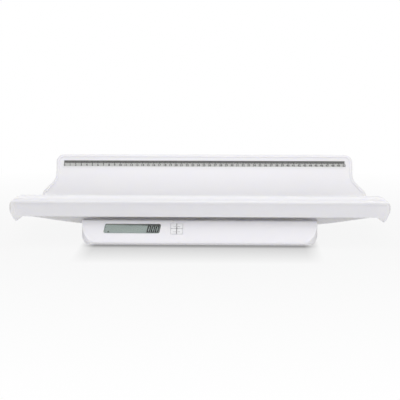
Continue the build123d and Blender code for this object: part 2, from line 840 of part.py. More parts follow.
with BuildPart() as contact_springs:
    for x, y, way in spring_list:
        room = bay_length - battery_length - 2 * contact_thickness
        with BuildSketch(Plane.YZ.offset(x)):
            with BuildLine():
                turn = way * room / spring_turns
                growth = (spring_radius_large - spring_radius_small) / spring_turns
                corners = [(y, cell_z)]
                for ring in range(spring_turns):
                    small = spring_radius_small + growth * ring
                    for share, rise in zip(spring_shares, (0, spring_wire, 0)):
                        corners.append((y + turn * (ring + share), cell_z + small + rise))
                corners.append((y + way * room, cell_z + spring_radius_large))
                corners.append((y + way * room, cell_z))
                Polyline(*corners, close=True)
            make_face()
        revolve(axis=Axis((x, y, cell_z), (0, 1, 0)))

write_part(contact_springs.part, "contact_springs")

with BuildPart() as contact_plates:
    for x, y, way in plate_list:
        with BuildSketch(Plane(origin=(x, y, cell_z), x_dir=(1, 0, 0), z_dir=(0, way, 0))):
            Rectangle(contact_side, contact_side)
        extrude(amount=contact_thickness)
    for x, y, way in spring_list:
        wall_side = bay_back if way > 0 else bay_front
        with BuildSketch(Plane(origin=(x, wall_side, cell_z), x_dir=(1, 0, 0), z_dir=(0, -way, 0))):
            Rectangle(contact_side, contact_side)
        extrude(amount=contact_thickness)

write_part(contact_plates.part, "contact_plates")

# ============ feet and load cells ============

for name, (x, y) in foot_places.items():
    with BuildPart() as foot_pad:
        with BuildSketch():
            with Locations((x, y)):
                Circle(foot_pad_radius)
        extrude(amount=foot_pad_thickness)
        chamfer(foot_pad.edges().group_by(Axis.Z)[0], length=foot_pad_edge)
    write_part(foot_pad.part, "foot_pad_" + name)

    with BuildPart() as foot_cup:
        with BuildSketch(Plane.XZ.offset(-y)):
            with BuildLine():
                Polyline(
                    (x, foot_pad_thickness),
                    (x + foot_pad_radius + foot_pad_gap, foot_pad_thickness),
                    (x + foot_pad_radius + foot_pad_gap, foot_pad_thickness - foot_pad_inset),
                    (x + foot_cup_radius, foot_pad_thickness - foot_pad_inset),
                    (x + foot_cup_radius, foot_cup_top - foot_cup_edge),
                    (x + foot_cup_radius - foot_cup_edge, foot_cup_top),
                    (x + foot_stem_radius, foot_cup_top),
                    (x + foot_stem_radius, cell_height),
                    (x, cell_height),
                    close=True,
                )
            make_face()
        revolve(axis=Axis((x, y, 0), (0, 0, 1)))
    write_part(foot_cup.part, "foot_cup_" + name)

    with BuildPart() as load_cell:
        with BuildSketch(Plane.XY.offset(cell_height)):
            with Locations((x, y)):
                RectangleRounded(cell_side, cell_side, cell_corner)
                # the slot leaves a tongue that carries the foot and bends under load
                RectangleRounded(cell_window, cell_window, cell_window_corner, mode=Mode.SUBTRACT)
                Rectangle(cell_tongue, cell_tongue)
            with Locations((x, y + cell_side / 4)):
                Rectangle(cell_tongue_neck, cell_side / 2 - cell_neck_end)
        extrude(amount=cell_thickness)
    write_part(load_cell.part, "load_cell_" + name)

    with BuildPart() as cell_holder:
        with BuildSketch(Plane.XY.offset(floor_top)):
            with Locations((x, y)):
                RectangleRounded(holder_side, holder_side, holder_corner)
        extrude(amount=holder_top - floor_top)
        with BuildSketch(Plane.XY.offset(floor_top)):
            with Locations((x, y)):
                Rectangle(holder_side + 2 * holder_ear, holder_ear_width)
        extrude(amount=holder_ear_height)
        with BuildSketch(Plane.XY.offset(floor_top)):
            with Locations((x, y)):
                RectangleRounded(cell_side + 2 * cell_gap, cell_side + 2 * cell_gap, cell_corner)
        extrude(amount=cell_height + cell_thickness - floor_top, mode=Mode.SUBTRACT)
        with BuildSketch(Plane.XY.offset(floor_top)):
            with Locations((x, y)):
                RectangleRounded(holder_window, holder_window, cell_corner)
        extrude(amount=holder_top - floor_top, mode=Mode.SUBTRACT)
        with BuildSketch(Plane.XY.offset(floor_top)):
            with Locations((x, y)):
                with GridLocations(holder_side + holder_ear, 0, 2, 1):
                    Circle(holder_screw_radius)
        extrude(amount=holder_ear_height, mode=Mode.SUBTRACT)
    write_part(cell_holder.part, "cell_holder_" + name)

# ============ screws ============


def screw_set(places, plane, shank, length, head, head_height):
    """Pan-head screws with their heads on a plane and their shanks along its normal."""
    with BuildPart() as screws:
        with BuildSketch(plane):
            with Locations(*places):
                Circle(shank)
        extrude(amount=length)
        with BuildSketch(plane):
            with Locations(*places):
                Circle(head)
        extrude(amount=-head_height)
        rims = screws.edges().filter_by(GeomType.CIRCLE).group_by(SortBy.RADIUS)[-1]
        chamfer(rims.filter_by(lambda rim: plane.to_local_coords(rim.center()).Z < -head_height / 2),
                length=head_height / 2)
    return screws.part


write_part(
    screw_set(screw_places, Plane.XY.offset(floor_top), screw_radius, screw_length, screw_head_radius,
              screw_head_height),
    "housing_screws",
)
holder_screw_plane = Plane(origin=(0, 0, floor_top + holder_ear_height), x_dir=(1, 0, 0), z_dir=(0, 0, -1))
write_part(
    screw_set([(x, -y) for x, y in holder_screw_places], holder_screw_plane, holder_screw_radius,
              holder_ear_height + holder_screw_bite, holder_screw_head, holder_screw_head_height),
    "holder_screws",
)
board_back = face_plane.offset(-board_depth - board_thickness)
write_part(
    screw_set(board_screw_places, board_back, board_screw_radius, board_thickness + board_screw_depth,
              board_screw_head, board_screw_head_height),
    "board_screws",
)

# ============ display and keys, all square to the sloped face ============

with BuildPart() as display_lens:
    extrude(
        slanted_window(window_length - 2 * lens_gap, window_height - 2 * lens_gap,
                       window_corner - lens_gap),
        amount=-lens_pocket,
    )
    extrude(slanted_window(window_length, window_height, window_corner), amount=-lens_sink,
            mode=Mode.SUBTRACT)

write_part(display_lens.part, "display_lens")

with BuildPart() as lcd_glass:
    with BuildSketch(face_plane.offset(-housing_wall)):
        with Locations((window_centre, 0)):
            Rectangle(lcd_length, lcd_height)
    extrude(amount=-lcd_thickness)

write_part(lcd_glass.part, "lcd_glass")

with BuildPart() as lcd_frame:
    with BuildSketch(face_plane.offset(-housing_wall)):
        with Locations((window_centre, 0)):
            RectangleRounded(lcd_length + 2 * frame_wall, lcd_height + 2 * frame_wall, frame_corner)
            Rectangle(lcd_length + 2 * frame_gap, lcd_height + 2 * frame_gap, mode=Mode.SUBTRACT)
    extrude(amount=-(board_depth - housing_wall))

write_part(lcd_frame.part, "lcd_frame")

with BuildPart() as contact_strips:
    with BuildSketch(face_plane.offset(-housing_wall - lcd_thickness)):
        with Locations((window_centre, 0)):
            with GridLocations(0, lcd_height - 2 * strip_width, 1, 2):
                Rectangle(lcd_length - 2 * strip_width, strip_width)
    extrude(amount=-(board_depth - housing_wall - lcd_thickness))

write_part(contact_strips.part, "contact_strips")

with BuildPart() as display_board:
    with BuildSketch(face_plane.offset(-board_depth)):
        with Locations(((board_ends[0] + board_ends[1]) / 2, 0)):
            RectangleRounded(board_ends[1] - board_ends[0], board_height, board_corner)
        with Locations(*board_screw_places):
            Circle(board_screw_radius + screw_hole_gap, mode=Mode.SUBTRACT)
    extrude(amount=-board_thickness)

write_part(display_board.part, "display_board")

with BuildPart() as control_chip:
    with BuildSketch(board_back):
        with Locations((chip_x, 0)):
            Rectangle(chip_side, chip_side)
    extrude(amount=-chip_height)
    chamfer(control_chip.faces().sort_by(SortBy.DISTANCE)[0].edges(), length=chip_edge)

write_part(control_chip.part, "control_chip")

with BuildPart() as buzzer:
    with BuildSketch(board_back):
        with Locations((buzzer_x, 0)):
            Circle(buzzer_radius)
            Circle(buzzer_hole, mode=Mode.SUBTRACT)
    extrude(amount=-buzzer_height)

write_part(buzzer.part, "buzzer")

key_places = {"unit_key": (-1, 1), "hold_key": (1, 1), "tare_key": (-1, -1), "power_key": (1, -1)}
key_size = key_pitch - key_gap
stem_end = board_depth - mat_thickness - dome_height - key_travel - key_free
for name, (across, up) in key_places.items():
    x = key_block_centre + across * key_pitch / 2
    y = up * key_pitch / 2
    with BuildPart() as key:
        with BuildSketch(face_plane.offset(key_stand)):
            with Locations((x, y)):
                RectangleRounded(key_size, key_size, key_corner)
        extrude(amount=-key_stand - housing_wall)
        top = key.faces().sort_by(Axis(face_plane.origin, face_plane.z_dir))[-1]
        chamfer(top.edges(), length=key_edge)
        with BuildSketch(face_plane.offset(-housing_wall)):
            with Locations((x + across * key_flange / 2, y + up * key_flange / 2)):
                Rectangle(key_size + key_flange, key_size + key_flange)
        extrude(amount=-key_flange_thickness)
        with BuildSketch(face_plane.offset(-housing_wall - key_flange_thickness)):
            with Locations((x, y)):
                Circle(key_stem_radius)
        extrude(amount=-(stem_end - housing_wall - key_flange_thickness))
    write_part(key.part, name)

with BuildPart() as key_mat:
    with BuildSketch(face_plane.offset(-board_depth)):
        with Locations((key_block_centre, 0)):
            RectangleRounded(mat_side, mat_side, mat_corner)
    extrude(amount=mat_thickness)
    with BuildSketch(face_plane.offset(-board_depth + mat_thickness)):
        with Locations((key_block_centre, 0)):
            with GridLocations(key_pitch, key_pitch, 2, 2):
                Circle(dome_radius)
    extrude(amount=dome_height, taper=dome_taper)

write_part(key_mat.part, "key_mat")

# ============ rubber pads under the tray's feet ============

with BuildPart() as seat_pads:
    with BuildSketch(Plane.XY.offset(seat_bottom)):
        with Locations(*seat_places):
            Circle(seat_radius - seat_pad_gap)
    extrude(amount=seat_pad_thickness)

write_part(seat_pads.part, "seat_pads")
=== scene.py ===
import bmesh
import bpy
import json
import numpy as np
from math import cos, pi, radians, sin, tan
from mathutils import Matrix, Vector

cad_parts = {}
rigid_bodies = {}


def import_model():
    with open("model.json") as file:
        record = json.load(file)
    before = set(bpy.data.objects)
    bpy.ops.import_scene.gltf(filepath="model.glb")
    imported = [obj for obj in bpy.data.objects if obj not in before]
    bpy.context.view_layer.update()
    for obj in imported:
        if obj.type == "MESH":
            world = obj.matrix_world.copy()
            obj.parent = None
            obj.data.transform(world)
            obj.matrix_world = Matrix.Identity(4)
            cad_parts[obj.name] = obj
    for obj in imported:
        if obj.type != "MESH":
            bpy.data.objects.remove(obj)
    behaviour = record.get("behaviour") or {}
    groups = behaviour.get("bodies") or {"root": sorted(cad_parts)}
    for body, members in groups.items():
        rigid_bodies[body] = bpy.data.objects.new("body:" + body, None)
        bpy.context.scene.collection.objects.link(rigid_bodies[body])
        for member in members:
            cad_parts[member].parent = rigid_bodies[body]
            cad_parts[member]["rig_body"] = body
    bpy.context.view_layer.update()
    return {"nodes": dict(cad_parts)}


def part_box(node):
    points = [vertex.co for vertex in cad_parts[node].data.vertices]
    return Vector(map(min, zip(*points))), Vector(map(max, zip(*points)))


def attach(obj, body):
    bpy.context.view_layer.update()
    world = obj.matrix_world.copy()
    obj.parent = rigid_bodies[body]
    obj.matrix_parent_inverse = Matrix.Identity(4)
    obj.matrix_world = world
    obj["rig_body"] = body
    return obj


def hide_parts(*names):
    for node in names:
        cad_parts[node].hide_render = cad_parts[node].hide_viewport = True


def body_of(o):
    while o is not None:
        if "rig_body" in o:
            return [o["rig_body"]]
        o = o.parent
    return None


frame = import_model()
nodes = frame["nodes"]
bodyOf = {name: body_of(obj)[0] for name, obj in nodes.items()}
mm = 0.001  # sizes below are in mm where nothing else is said, and the frame is in metres

# the sloped face of the console: its nose and crease, its slope, and how far up it the control line runs
console = {"noseY": -164.0, "creaseZ": 9.0, "slope": 54.5, "line": 23.96}
slopeY, slopeZ = cos(radians(console["slope"])), sin(radians(console["slope"]))
faceUp = np.array([0.0, slopeY, slopeZ])  # up the slope
faceOut = np.array([0.0, -slopeZ, slopeY])  # away from the face
faceOrigin = np.array([0.0, console["noseY"], console["creaseZ"]]) + console["line"] * faceUp


def onFace(x, up, out):
    # point = origin + x to the right + up along the slope + out along the face's normal
    x, up, out = np.broadcast_arrays(np.asarray(x, float), np.asarray(up, float), np.asarray(out, float))
    right = np.array([1.0, 0.0, 0.0])
    return faceOrigin + x[..., None] * right + up[..., None] * faceUp + out[..., None] * faceOut


def boxOf(node):
    # lowest and highest corner of a CAD node
    return [np.array(corner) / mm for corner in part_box(node)]


def meshFrom(name, verts, faces, material, smooth=True):
    # a piece from its points in mm, with its object at the origin
    mesh = bpy.data.meshes.new(name)
    mesh.from_pydata((np.asarray(verts, float) * mm).tolist(), [], [list(map(int, face)) for face in faces])
    mesh.validate()
    mesh.polygons.foreach_set("use_smooth", [smooth] * len(mesh.polygons))
    mesh.update()
    obj = bpy.data.objects.new(name, mesh)
    bpy.context.scene.collection.objects.link(obj)
    obj.data.materials.append(material)
    return obj


def gridFaces(rows, columns, ring=False):
    # quad (i, j) joins points j and j + 1 of row i with the same points of row i + 1; in a ring, last meets first
    i = np.arange(rows - 1)[:, None]
    j = np.arange(columns if ring else columns - 1)[None, :]
    after = (j + 1) % columns
    quads = [i * columns + j, i * columns + after, (i + 1) * columns + after, (i + 1) * columns + j]
    return np.stack(quads, -1).reshape(-1, 4)


def closeNormals(obj):
    # merge the points that meet at seams and poles, then turn every face outwards
    work = bmesh.new()
    work.from_mesh(obj.data)
    bmesh.ops.remove_doubles(work, verts=work.verts, dist=0.001 * mm)
    bmesh.ops.recalc_face_normals(work, faces=work.faces)
    work.to_mesh(obj.data)
    work.free()
    obj.data.update()


# material helpers

def fill(node, values):
    # numbers and colours straight on a node's own sockets
    for label, value in values.items():
        node.inputs[label].default_value = value


def newMaterial(name):
    # the material, its node tree and its shader
    material = bpy.data.materials.new(name)
    material.use_nodes = True
    return material, material.node_tree, material.node_tree.nodes["Principled BSDF"]


def newGroup(name, inputs, outputs):
    # a group with its inputs' names, kinds and values, and outputs that are plain numbers
    group = bpy.data.node_groups.new(name, "ShaderNodeTree")
    for label, kind, value in inputs:
        group.interface.new_socket(label, in_out="INPUT", socket_type=kind).default_value = value
    for label in outputs:
        group.interface.new_socket(label, in_out="OUTPUT", socket_type="NodeSocketFloat")
    return group, group.nodes.new("NodeGroupInput"), group.nodes.new("NodeGroupOutput")


def groupNode(tree, group, values):
    node = tree.nodes.new("ShaderNodeGroup")
    node.node_tree = group
    fill(node, values)
    return node


def feed(tree, socket, value):
    # a plain number is set on the socket, anything else is linked to it
    if isinstance(value, (int, float)):
        socket.default_value = value
    else:
        tree.links.new(value, socket)


def objectPoint(tree):
    return tree.nodes.new("ShaderNodeTexCoord").outputs["Object"]


def axes(tree, vector):
    # a vector's X, Y and Z
    split = tree.nodes.new("ShaderNodeSeparateXYZ")
    tree.links.new(vector, split.inputs[0])
    return split.outputs


def mathNode(tree, operation, *values):
    node = tree.nodes.new("ShaderNodeMath")
    node.operation = operation
    for slot, value in enumerate(values):
        feed(tree, node.inputs[slot], value)
    return node.outputs[0]


def noiseNode(tree, vector, scale, detail=2.0, roughness=0.5):
    node = tree.nodes.new("ShaderNodeTexNoise")
    fill(node, {"Detail": detail, "Roughness": roughness})
    feed(tree, node.inputs["Scale"], scale)
    tree.links.new(vector, node.inputs["Vector"])
    return node.outputs["Fac"]


def rangeNode(tree, value, fromMin, fromMax, toMin, toMax):
    node = tree.nodes.new("ShaderNodeMapRange")
    fill(node, {"From Min": fromMin, "From Max": fromMax, "To Min": toMin, "To Max": toMax})
    tree.links.new(value, node.inputs["Value"])
    return node.outputs["Result"]


def noiseTone(tree, noise, low, high):
    # nearly all of a noise lies from 0.3 to 0.7, which becomes low to high
    return rangeNode(tree, noise, 0.3, 0.7, low, high)


def toneColour(tree, tone, colour):
    # colour times tone, channel by channel
    mix = tree.nodes.new("ShaderNodeMix")
    mix.data_type = "RGBA"
    mix.blend_type = "MULTIPLY"
    fill(mix, {"Factor": 1.0, "A": (*colour, 1)})
    combine = tree.nodes.new("ShaderNodeCombineColor")
    for channel in ("Red", "Green", "Blue"):
        tree.links.new(tone, combine.inputs[channel])
    tree.links.new(combine.outputs["Color"], mix.inputs["B"])
    return mix.outputs["Result"]


def blendColour(tree, mask, first, second):
    # first colour where the mask is 0, second where it is 1
    mix = tree.nodes.new("ShaderNodeMix")
    mix.data_type = "RGBA"
    fill(mix, {"A": (*first, 1), "B": (*second, 1)})
    tree.links.new(mask, mix.inputs["Factor"])
    return mix.outputs["Result"]


def mixShaders(tree, share, first, second):
    mix = tree.nodes.new("ShaderNodeMixShader")
    tree.links.new(share, mix.inputs["Fac"])
    tree.links.new(first, mix.inputs[1])
    tree.links.new(second, mix.inputs[2])
    return mix.outputs[0]


def relief(tree, shader, height, strength, distance):
    # the height, worth the distance in metres, tilts the normal
    bump = tree.nodes.new("ShaderNodeBump")
    fill(bump, {"Strength": strength, "Distance": distance})
    tree.links.new(height, bump.inputs["Height"])
    tree.links.new(bump.outputs["Normal"], shader.inputs["Normal"])


# in all the finishes a noise's scale is its waves in a metre, and the distance of a relief is in metres
mould = {"cloud": 9.0, "marks": 32.0, "markEdge": (0.45, 0.75), "spots": 140.0, "spotGloss": 0.05, "swell": 55.0,
         "swellHeight": 0.6, "distance": 0.0004, "glowRadius": (1.0, 0.95, 0.72), "glowScale": 0.006}


def buildMouldGroup():
    # moulded plastic: cloudy tone, handling marks in the gloss, and a fine spark-eroded grain on a slow swell
    group, given, result = newGroup(
        "mouldedSurface",
        [("Grain Scale", "NodeSocketFloat", 900.0), ("Tone Spread", "NodeSocketFloat", 0.02),
         ("Base Roughness", "NodeSocketFloat", 0.35), ("Mark Strength", "NodeSocketFloat", 0.06)],
        ("Tone", "Roughness", "Height"))
    point = objectPoint(group)
    cloud = mathNode(group, "SUBTRACT", noiseNode(group, point, mould["cloud"], 3.0), 0.5)
    tone = mathNode(group, "MULTIPLY_ADD", cloud, given.outputs["Tone Spread"], 1.0)
    marks = rangeNode(group, noiseNode(group, point, mould["marks"], 5.0, 0.62), *mould["markEdge"], 0.0, 1.0)
    rough = mathNode(group, "MULTIPLY_ADD", marks, given.outputs["Mark Strength"], given.outputs["Base Roughness"])
    spots = mathNode(group, "SUBTRACT", noiseNode(group, point, mould["spots"]), 0.5)
    rough = mathNode(group, "MULTIPLY_ADD", spots, mould["spotGloss"], rough)
    grain = noiseNode(group, point, given.outputs["Grain Scale"], 2.0, 0.6)
    swell = noiseNode(group, point, mould["swell"], 1.0)
    height = mathNode(group, "MULTIPLY_ADD", swell, mould["swellHeight"], grain)
    group.links.new(tone, result.inputs["Tone"])
    group.links.new(rough, result.inputs["Roughness"])
    group.links.new(height, result.inputs["Height"])
    return group


mouldedSurface = buildMouldGroup()


def plastic(name, colour, grainScale=900.0, grainDepth=0.02, roughness=0.35, spread=0.02, marks=0.06, coat=0.0,
            glow=0.0):
    material, tree, shader = newMaterial(name)
    surface = groupNode(tree, mouldedSurface, {"Grain Scale": grainScale, "Tone Spread": spread,
                                               "Base Roughness": roughness, "Mark Strength": marks})
    tree.links.new(toneColour(tree, surface.outputs["Tone"], colour), shader.inputs["Base Color"])
    tree.links.new(surface.outputs["Roughness"], shader.inputs["Roughness"])
    relief(tree, shader, surface.outputs["Height"], grainDepth, mould["distance"])
    # glow is light that wanders through a thin wall and gets a little warmer as it goes
    fill(shader, {"Coat Weight": coat, "Subsurface Weight": glow, "Subsurface Radius": mould["glowRadius"],
                  "Subsurface Scale": mould["glowScale"]})
    return material


finish = {
    "shellWhite": dict(colour=(0.842, 0.834, 0.858), grainScale=1400.0, grainDepth=0.03, roughness=0.3, coat=0.15,
                       glow=0.3),
    # the housing's white is lighter than the shell's: painted light that makes up for the shade the tray's overhang
    # casts on the console's face
    "housingWhite": dict(colour=(0.915, 0.90, 0.93), grainScale=1400.0, grainDepth=0.03, roughness=0.3, coat=0.15,
                         glow=0.3),
    "undersideWhite": dict(colour=(0.84, 0.83, 0.845), grainScale=700.0, grainDepth=0.22, roughness=0.5, glow=0.3),
    "keyWhite": dict(colour=(0.86, 0.86, 0.875), grainScale=1600.0, grainDepth=0.05, roughness=0.4),
    "footRubber": dict(colour=(0.055, 0.055, 0.058), grainScale=1200.0, grainDepth=0.4, roughness=0.75),
    "seatRubber": dict(colour=(0.42, 0.42, 0.43), grainScale=1100.0, grainDepth=0.3, roughness=0.7),
    "frameBlack": dict(colour=(0.03, 0.03, 0.032), grainScale=900.0, grainDepth=0.2, roughness=0.55),
    "matGrey": dict(colour=(0.45, 0.45, 0.44), grainScale=900.0, grainDepth=0.15, roughness=0.7),
    "chipBlack": dict(colour=(0.022, 0.022, 0.024), grainScale=1800.0, grainDepth=0.3, roughness=0.5, marks=0.12),
    "rulerFilm": dict(colour=(0.83, 0.83, 0.84), grainScale=500.0, grainDepth=0.01, roughness=0.22, coat=0.3),
    "gaugeAmber": dict(colour=(0.42, 0.20, 0.05), grainScale=600.0, grainDepth=0.05, roughness=0.3, coat=0.6),
    "siliconeWhite": dict(colour=(0.72, 0.72, 0.70), grainScale=300.0, grainDepth=0.1, roughness=0.35, spread=0.05),
}
materials = {name: plastic(name, **values) for name, values in finish.items()}

rolling = {"stretch": (1.0, 0.04, 1.0), "cloud": 60.0, "stainEdge": (0.45, 0.8), "scratchTone": (0.94, 1.04),
           "stainGloss": 1.2, "scratchGloss": 0.12, "distance": 0.0002}


def buildMetalGroup():
    # bare metal: fine scratches one way, cloudy polish and a little tarnish
    group, given, result = newGroup(
        "rolledMetal",
        [("Vector", "NodeSocketVector", (0, 0, 0)), ("Scratch Scale", "NodeSocketFloat", 400.0),
         ("Base Roughness", "NodeSocketFloat", 0.3), ("Tarnish", "NodeSocketFloat", 0.15)],
        ("Tone", "Roughness", "Height"))
    stretch = group.nodes.new("ShaderNodeVectorMath")
    stretch.operation = "MULTIPLY"
    stretch.inputs[1].default_value = rolling["stretch"]
    group.links.new(given.outputs["Vector"], stretch.inputs[0])
    scratch = noiseNode(group, stretch.outputs[0], given.outputs["Scratch Scale"], 3.0, 0.7)
    cloud = noiseNode(group, given.outputs["Vector"], rolling["cloud"], 3.0, 0.6)
    stain = rangeNode(group, cloud, *rolling["stainEdge"], 0.0, 1.0)
    loss = mathNode(group, "MULTIPLY", stain, given.outputs["Tarnish"])
    tone = mathNode(group, "SUBTRACT", noiseTone(group, scratch, *rolling["scratchTone"]), loss)
    rough = mathNode(group, "MULTIPLY_ADD", loss, rolling["stainGloss"], given.outputs["Base Roughness"])
    rough = mathNode(group, "MULTIPLY_ADD", scratch, rolling["scratchGloss"], rough)
    group.links.new(tone, result.inputs["Tone"])
    group.links.new(rough, result.inputs["Roughness"])
    group.links.new(scratch, result.inputs["Height"])
    return group


rolledMetal = buildMetalGroup()


def metal(name, colour, scratchScale=400.0, roughness=0.3, tarnish=0.15, depth=0.05):
    material, tree, shader = newMaterial(name)
    surface = groupNode(tree, rolledMetal, {"Scratch Scale": scratchScale, "Base Roughness": roughness,
                                            "Tarnish": tarnish})
    tree.links.new(objectPoint(tree), surface.inputs["Vector"])
    tree.links.new(toneColour(tree, surface.outputs["Tone"], colour), shader.inputs["Base Color"])
    tree.links.new(surface.outputs["Roughness"], shader.inputs["Roughness"])
    relief(tree, shader, surface.outputs["Height"], depth, rolling["distance"])
    fill(shader, {"Metallic": 1.0})
    return material


metals = {
    "cellSteel": dict(colour=(0.56, 0.56, 0.57), scratchScale=900.0, roughness=0.28, tarnish=0.12, depth=0.12),
    "screwZinc": dict(colour=(0.60, 0.60, 0.62), scratchScale=2200.0, roughness=0.26, tarnish=0.2),
    "contactNickel": dict(colour=(0.66, 0.64, 0.60), scratchScale=1500.0, roughness=0.22, tarnish=0.1),
    "pinTin": dict(colour=(0.68, 0.68, 0.70), scratchScale=2500.0, roughness=0.3, tarnish=0.05),
}
materials.update({name: metal(name, **values) for name, values in metals.items()})

# print on plastic: slightly uneven, no gloss coat
inks = {"rulerInk": (0.03, 0.03, 0.028), "rulerBand": (0.50, 0.50, 0.49), "figureInk": (0.07, 0.07, 0.068),
        "keyInk": (0.22, 0.22, 0.23), "segmentInk": (0.004, 0.004, 0.005), "windowGrey": (0.25, 0.288, 0.275),
        "doorInk": (0.5, 0.5, 0.5)}
inkSurface = dict(grainScale=2200.0, grainDepth=0.04, roughness=0.55, spread=0.06, marks=0.1)
materials.update({name: plastic(name, colour, **inkSurface) for name, colour in inks.items()})

# the refractive index is low, as on an anti-glare window
lens = {"ripple": 60.0, "depth": 0.02, "distance": 0.0002, "tint": (0.97, 0.985, 0.975, 1), "index": 1.25}


def lensClear():
    # clear moulded window: faint flow ripple in its surface; light reaches the display through it
    material, tree, shader = newMaterial("lensClear")
    relief(tree, shader, noiseNode(tree, objectPoint(tree), lens["ripple"]), lens["depth"], lens["distance"])
    fill(shader, {"Roughness": 0.0, "Base Color": lens["tint"], "IOR": lens["index"], "Transmission Weight": 1.0})
    shadow = tree.nodes.new("ShaderNodeLightPath").outputs["Is Shadow Ray"]
    clear = tree.nodes.new("ShaderNodeBsdfTransparent").outputs[0]
    window = mixShaders(tree, shadow, shader.outputs[0], clear)
    tree.links.new(window, tree.nodes["Material Output"].inputs["Surface"])
    return material


lcd = {"foil": 2500.0, "foilTone": (0.97, 1.03), "cloud": 40.0, "cloudTone": (0.985, 1.015), "gloss": 0.35,
       "depth": 0.03, "distance": 0.0002}


def lcdGrey():
    # grey-green display: fine dots of the rear foil and a slow change of tone
    material, tree, shader = newMaterial("lcdGrey")
    point = objectPoint(tree)
    foil = noiseTone(tree, noiseNode(tree, point, lcd["foil"]), *lcd["foilTone"])
    cloud = noiseTone(tree, noiseNode(tree, point, lcd["cloud"]), *lcd["cloudTone"])
    tone = mathNode(tree, "MULTIPLY", foil, cloud)
    tree.links.new(toneColour(tree, tone, inks["windowGrey"]), shader.inputs["Base Color"])
    fill(shader, {"Roughness": lcd["gloss"]})
    relief(tree, shader, foil, lcd["depth"], lcd["distance"])
    return material


board = {"cell": 420.0, "fold": 0.22, "edge": (0.08, 0.11), "mask": (0.012, 0.11, 0.035),
         "track": (0.03, 0.20, 0.06), "gloss": 0.32, "depth": 0.3, "distance": 0.0001}


def boardGreen():
    # solder mask over copper: square rings round scattered points, lighter where a track lies under the mask
    material, tree, shader = newMaterial("boardGreen")
    cells = tree.nodes.new("ShaderNodeTexVoronoi")
    cells.distance = "MANHATTAN"
    cells.feature = "F1"
    fill(cells, {"Scale": board["cell"]})
    tree.links.new(objectPoint(tree), cells.inputs["Vector"])
    folded = mathNode(tree, "PINGPONG", cells.outputs["Distance"], board["fold"])
    tracks = rangeNode(tree, folded, *board["edge"], 0.0, 1.0)
    tree.links.new(blendColour(tree, tracks, board["mask"], board["track"]), shader.inputs["Base Color"])
    fill(shader, {"Roughness": board["gloss"]})
    relief(tree, shader, tracks, board["depth"], board["distance"])
    return material


connector = {"layer": 0.3, "edge": (0.12, 0.18), "body": (0.45, 0.16, 0.17), "carbon": (0.05, 0.03, 0.03),
             "gloss": 0.6}


def stripRubber():
    # layered rubber connector: thin dark conductive layers across a pink body
    material, tree, shader = newMaterial("stripRubber")
    layer = mathNode(tree, "PINGPONG", axes(tree, objectPoint(tree))["X"], connector["layer"] * mm)
    low, high = connector["edge"]
    dark = rangeNode(tree, layer, low * mm, high * mm, 0.0, 1.0)
    tree.links.new(blendColour(tree, dark, connector["body"], connector["carbon"]), shader.inputs["Base Color"])
    fill(shader, {"Roughness": connector["gloss"]})
    return material


# rim, band and cap are shares of the cell's length from its plus end, which is the rear one on a turned cell
battery = {"length": 44.5, "rim": 0.045, "band": 0.22, "cap": 0.985, "steel": (0.6, 0.6, 0.61),
           "bandColour": (0.62, 0.63, 0.64), "sleeve": (0.06, 0.10, 0.16), "scuff": 300.0,
           "scuffEdge": (0.4, 0.7), "gloss": (0.22, 0.38),
           "cells": ("battery_first", "battery_second", "battery_third", "battery_fourth"),
           "turned": ("battery_second", "battery_fourth")}


def batteryCoat(name, start, way):
    # shrink sleeve: bare steel ends, light band at the plus end, dark body; share = way * (y - start) / length
    material, tree, shader = newMaterial(name)
    point = objectPoint(tree)
    along = mathNode(tree, "MULTIPLY_ADD", axes(tree, point)["Y"], way / (battery["length"] * mm),
                     -way * start / battery["length"])
    ramp = tree.nodes.new("ShaderNodeValToRGB")
    ramp.color_ramp.interpolation = "CONSTANT"
    stops = ramp.color_ramp.elements
    stops[0].position, stops[0].color = 0.0, (*battery["steel"], 1)
    stops[1].position, stops[1].color = battery["cap"], (*battery["steel"], 1)
    stops.new(battery["rim"]).color = (*battery["bandColour"], 1)
    stops.new(battery["band"]).color = (*battery["sleeve"], 1)
    tree.links.new(along, ramp.inputs["Fac"])
    tree.links.new(ramp.outputs["Color"], shader.inputs["Base Color"])
    bare = mathNode(tree, "MAXIMUM", mathNode(tree, "LESS_THAN", along, battery["rim"]),
                    mathNode(tree, "GREATER_THAN", along, battery["cap"]))
    tree.links.new(bare, shader.inputs["Metallic"])
    scuff = noiseNode(tree, point, battery["scuff"], 4.0)
    rough = rangeNode(tree, scuff, *battery["scuffEdge"], *battery["gloss"])
    tree.links.new(rough, shader.inputs["Roughness"])
    return material


materials.update(lensClear=lensClear(), lcdGrey=lcdGrey(), boardGreen=boardGreen(), stripRubber=stripRubber())

wears = {  # how a node's name starts, and what it wears
    "tray": "shellWhite", "upper_housing": "housingWhite", "lower_housing": "undersideWhite",
    "battery_door": "undersideWhite", "unit_key": "keyWhite", "hold_key": "keyWhite", "tare_key": "keyWhite",
    "power_key": "keyWhite", "lcd_frame": "frameBlack", "key_mat": "matGrey", "seat_pads": "seatRubber",
    "ruler_strip": "rulerFilm", "display_lens": "lensClear", "lcd_glass": "lcdGrey", "display_board": "boardGreen",
    "control_chip": "chipBlack", "buzzer": "chipBlack", "contact_strips": "stripRubber",
    "contact_plates": "contactNickel", "foot_pad_": "footRubber", "foot_cup_": "undersideWhite",
    "cell_holder_": "undersideWhite", "load_cell_": "cellSteel",
}


def dress(node, material):
    nodes[node].data.materials.clear()
    nodes[node].data.materials.append(material)


for node in nodes:
    for start, name in wears.items():
        if node.startswith(start):
            dress(node, materials[name])
for node in battery["cells"]:
    low, high = boxOf(node)
    turned = node in battery["turned"]
    dress(node, batteryCoat(node + "Coat", high[1] if turned else low[1], -1 if turned else 1))
print("stage 2: materials on", len(nodes), "nodes")


# flat prints
sliver = 1e-7  # twice the area, in square mm, at which a triangle of a letter is too thin to keep


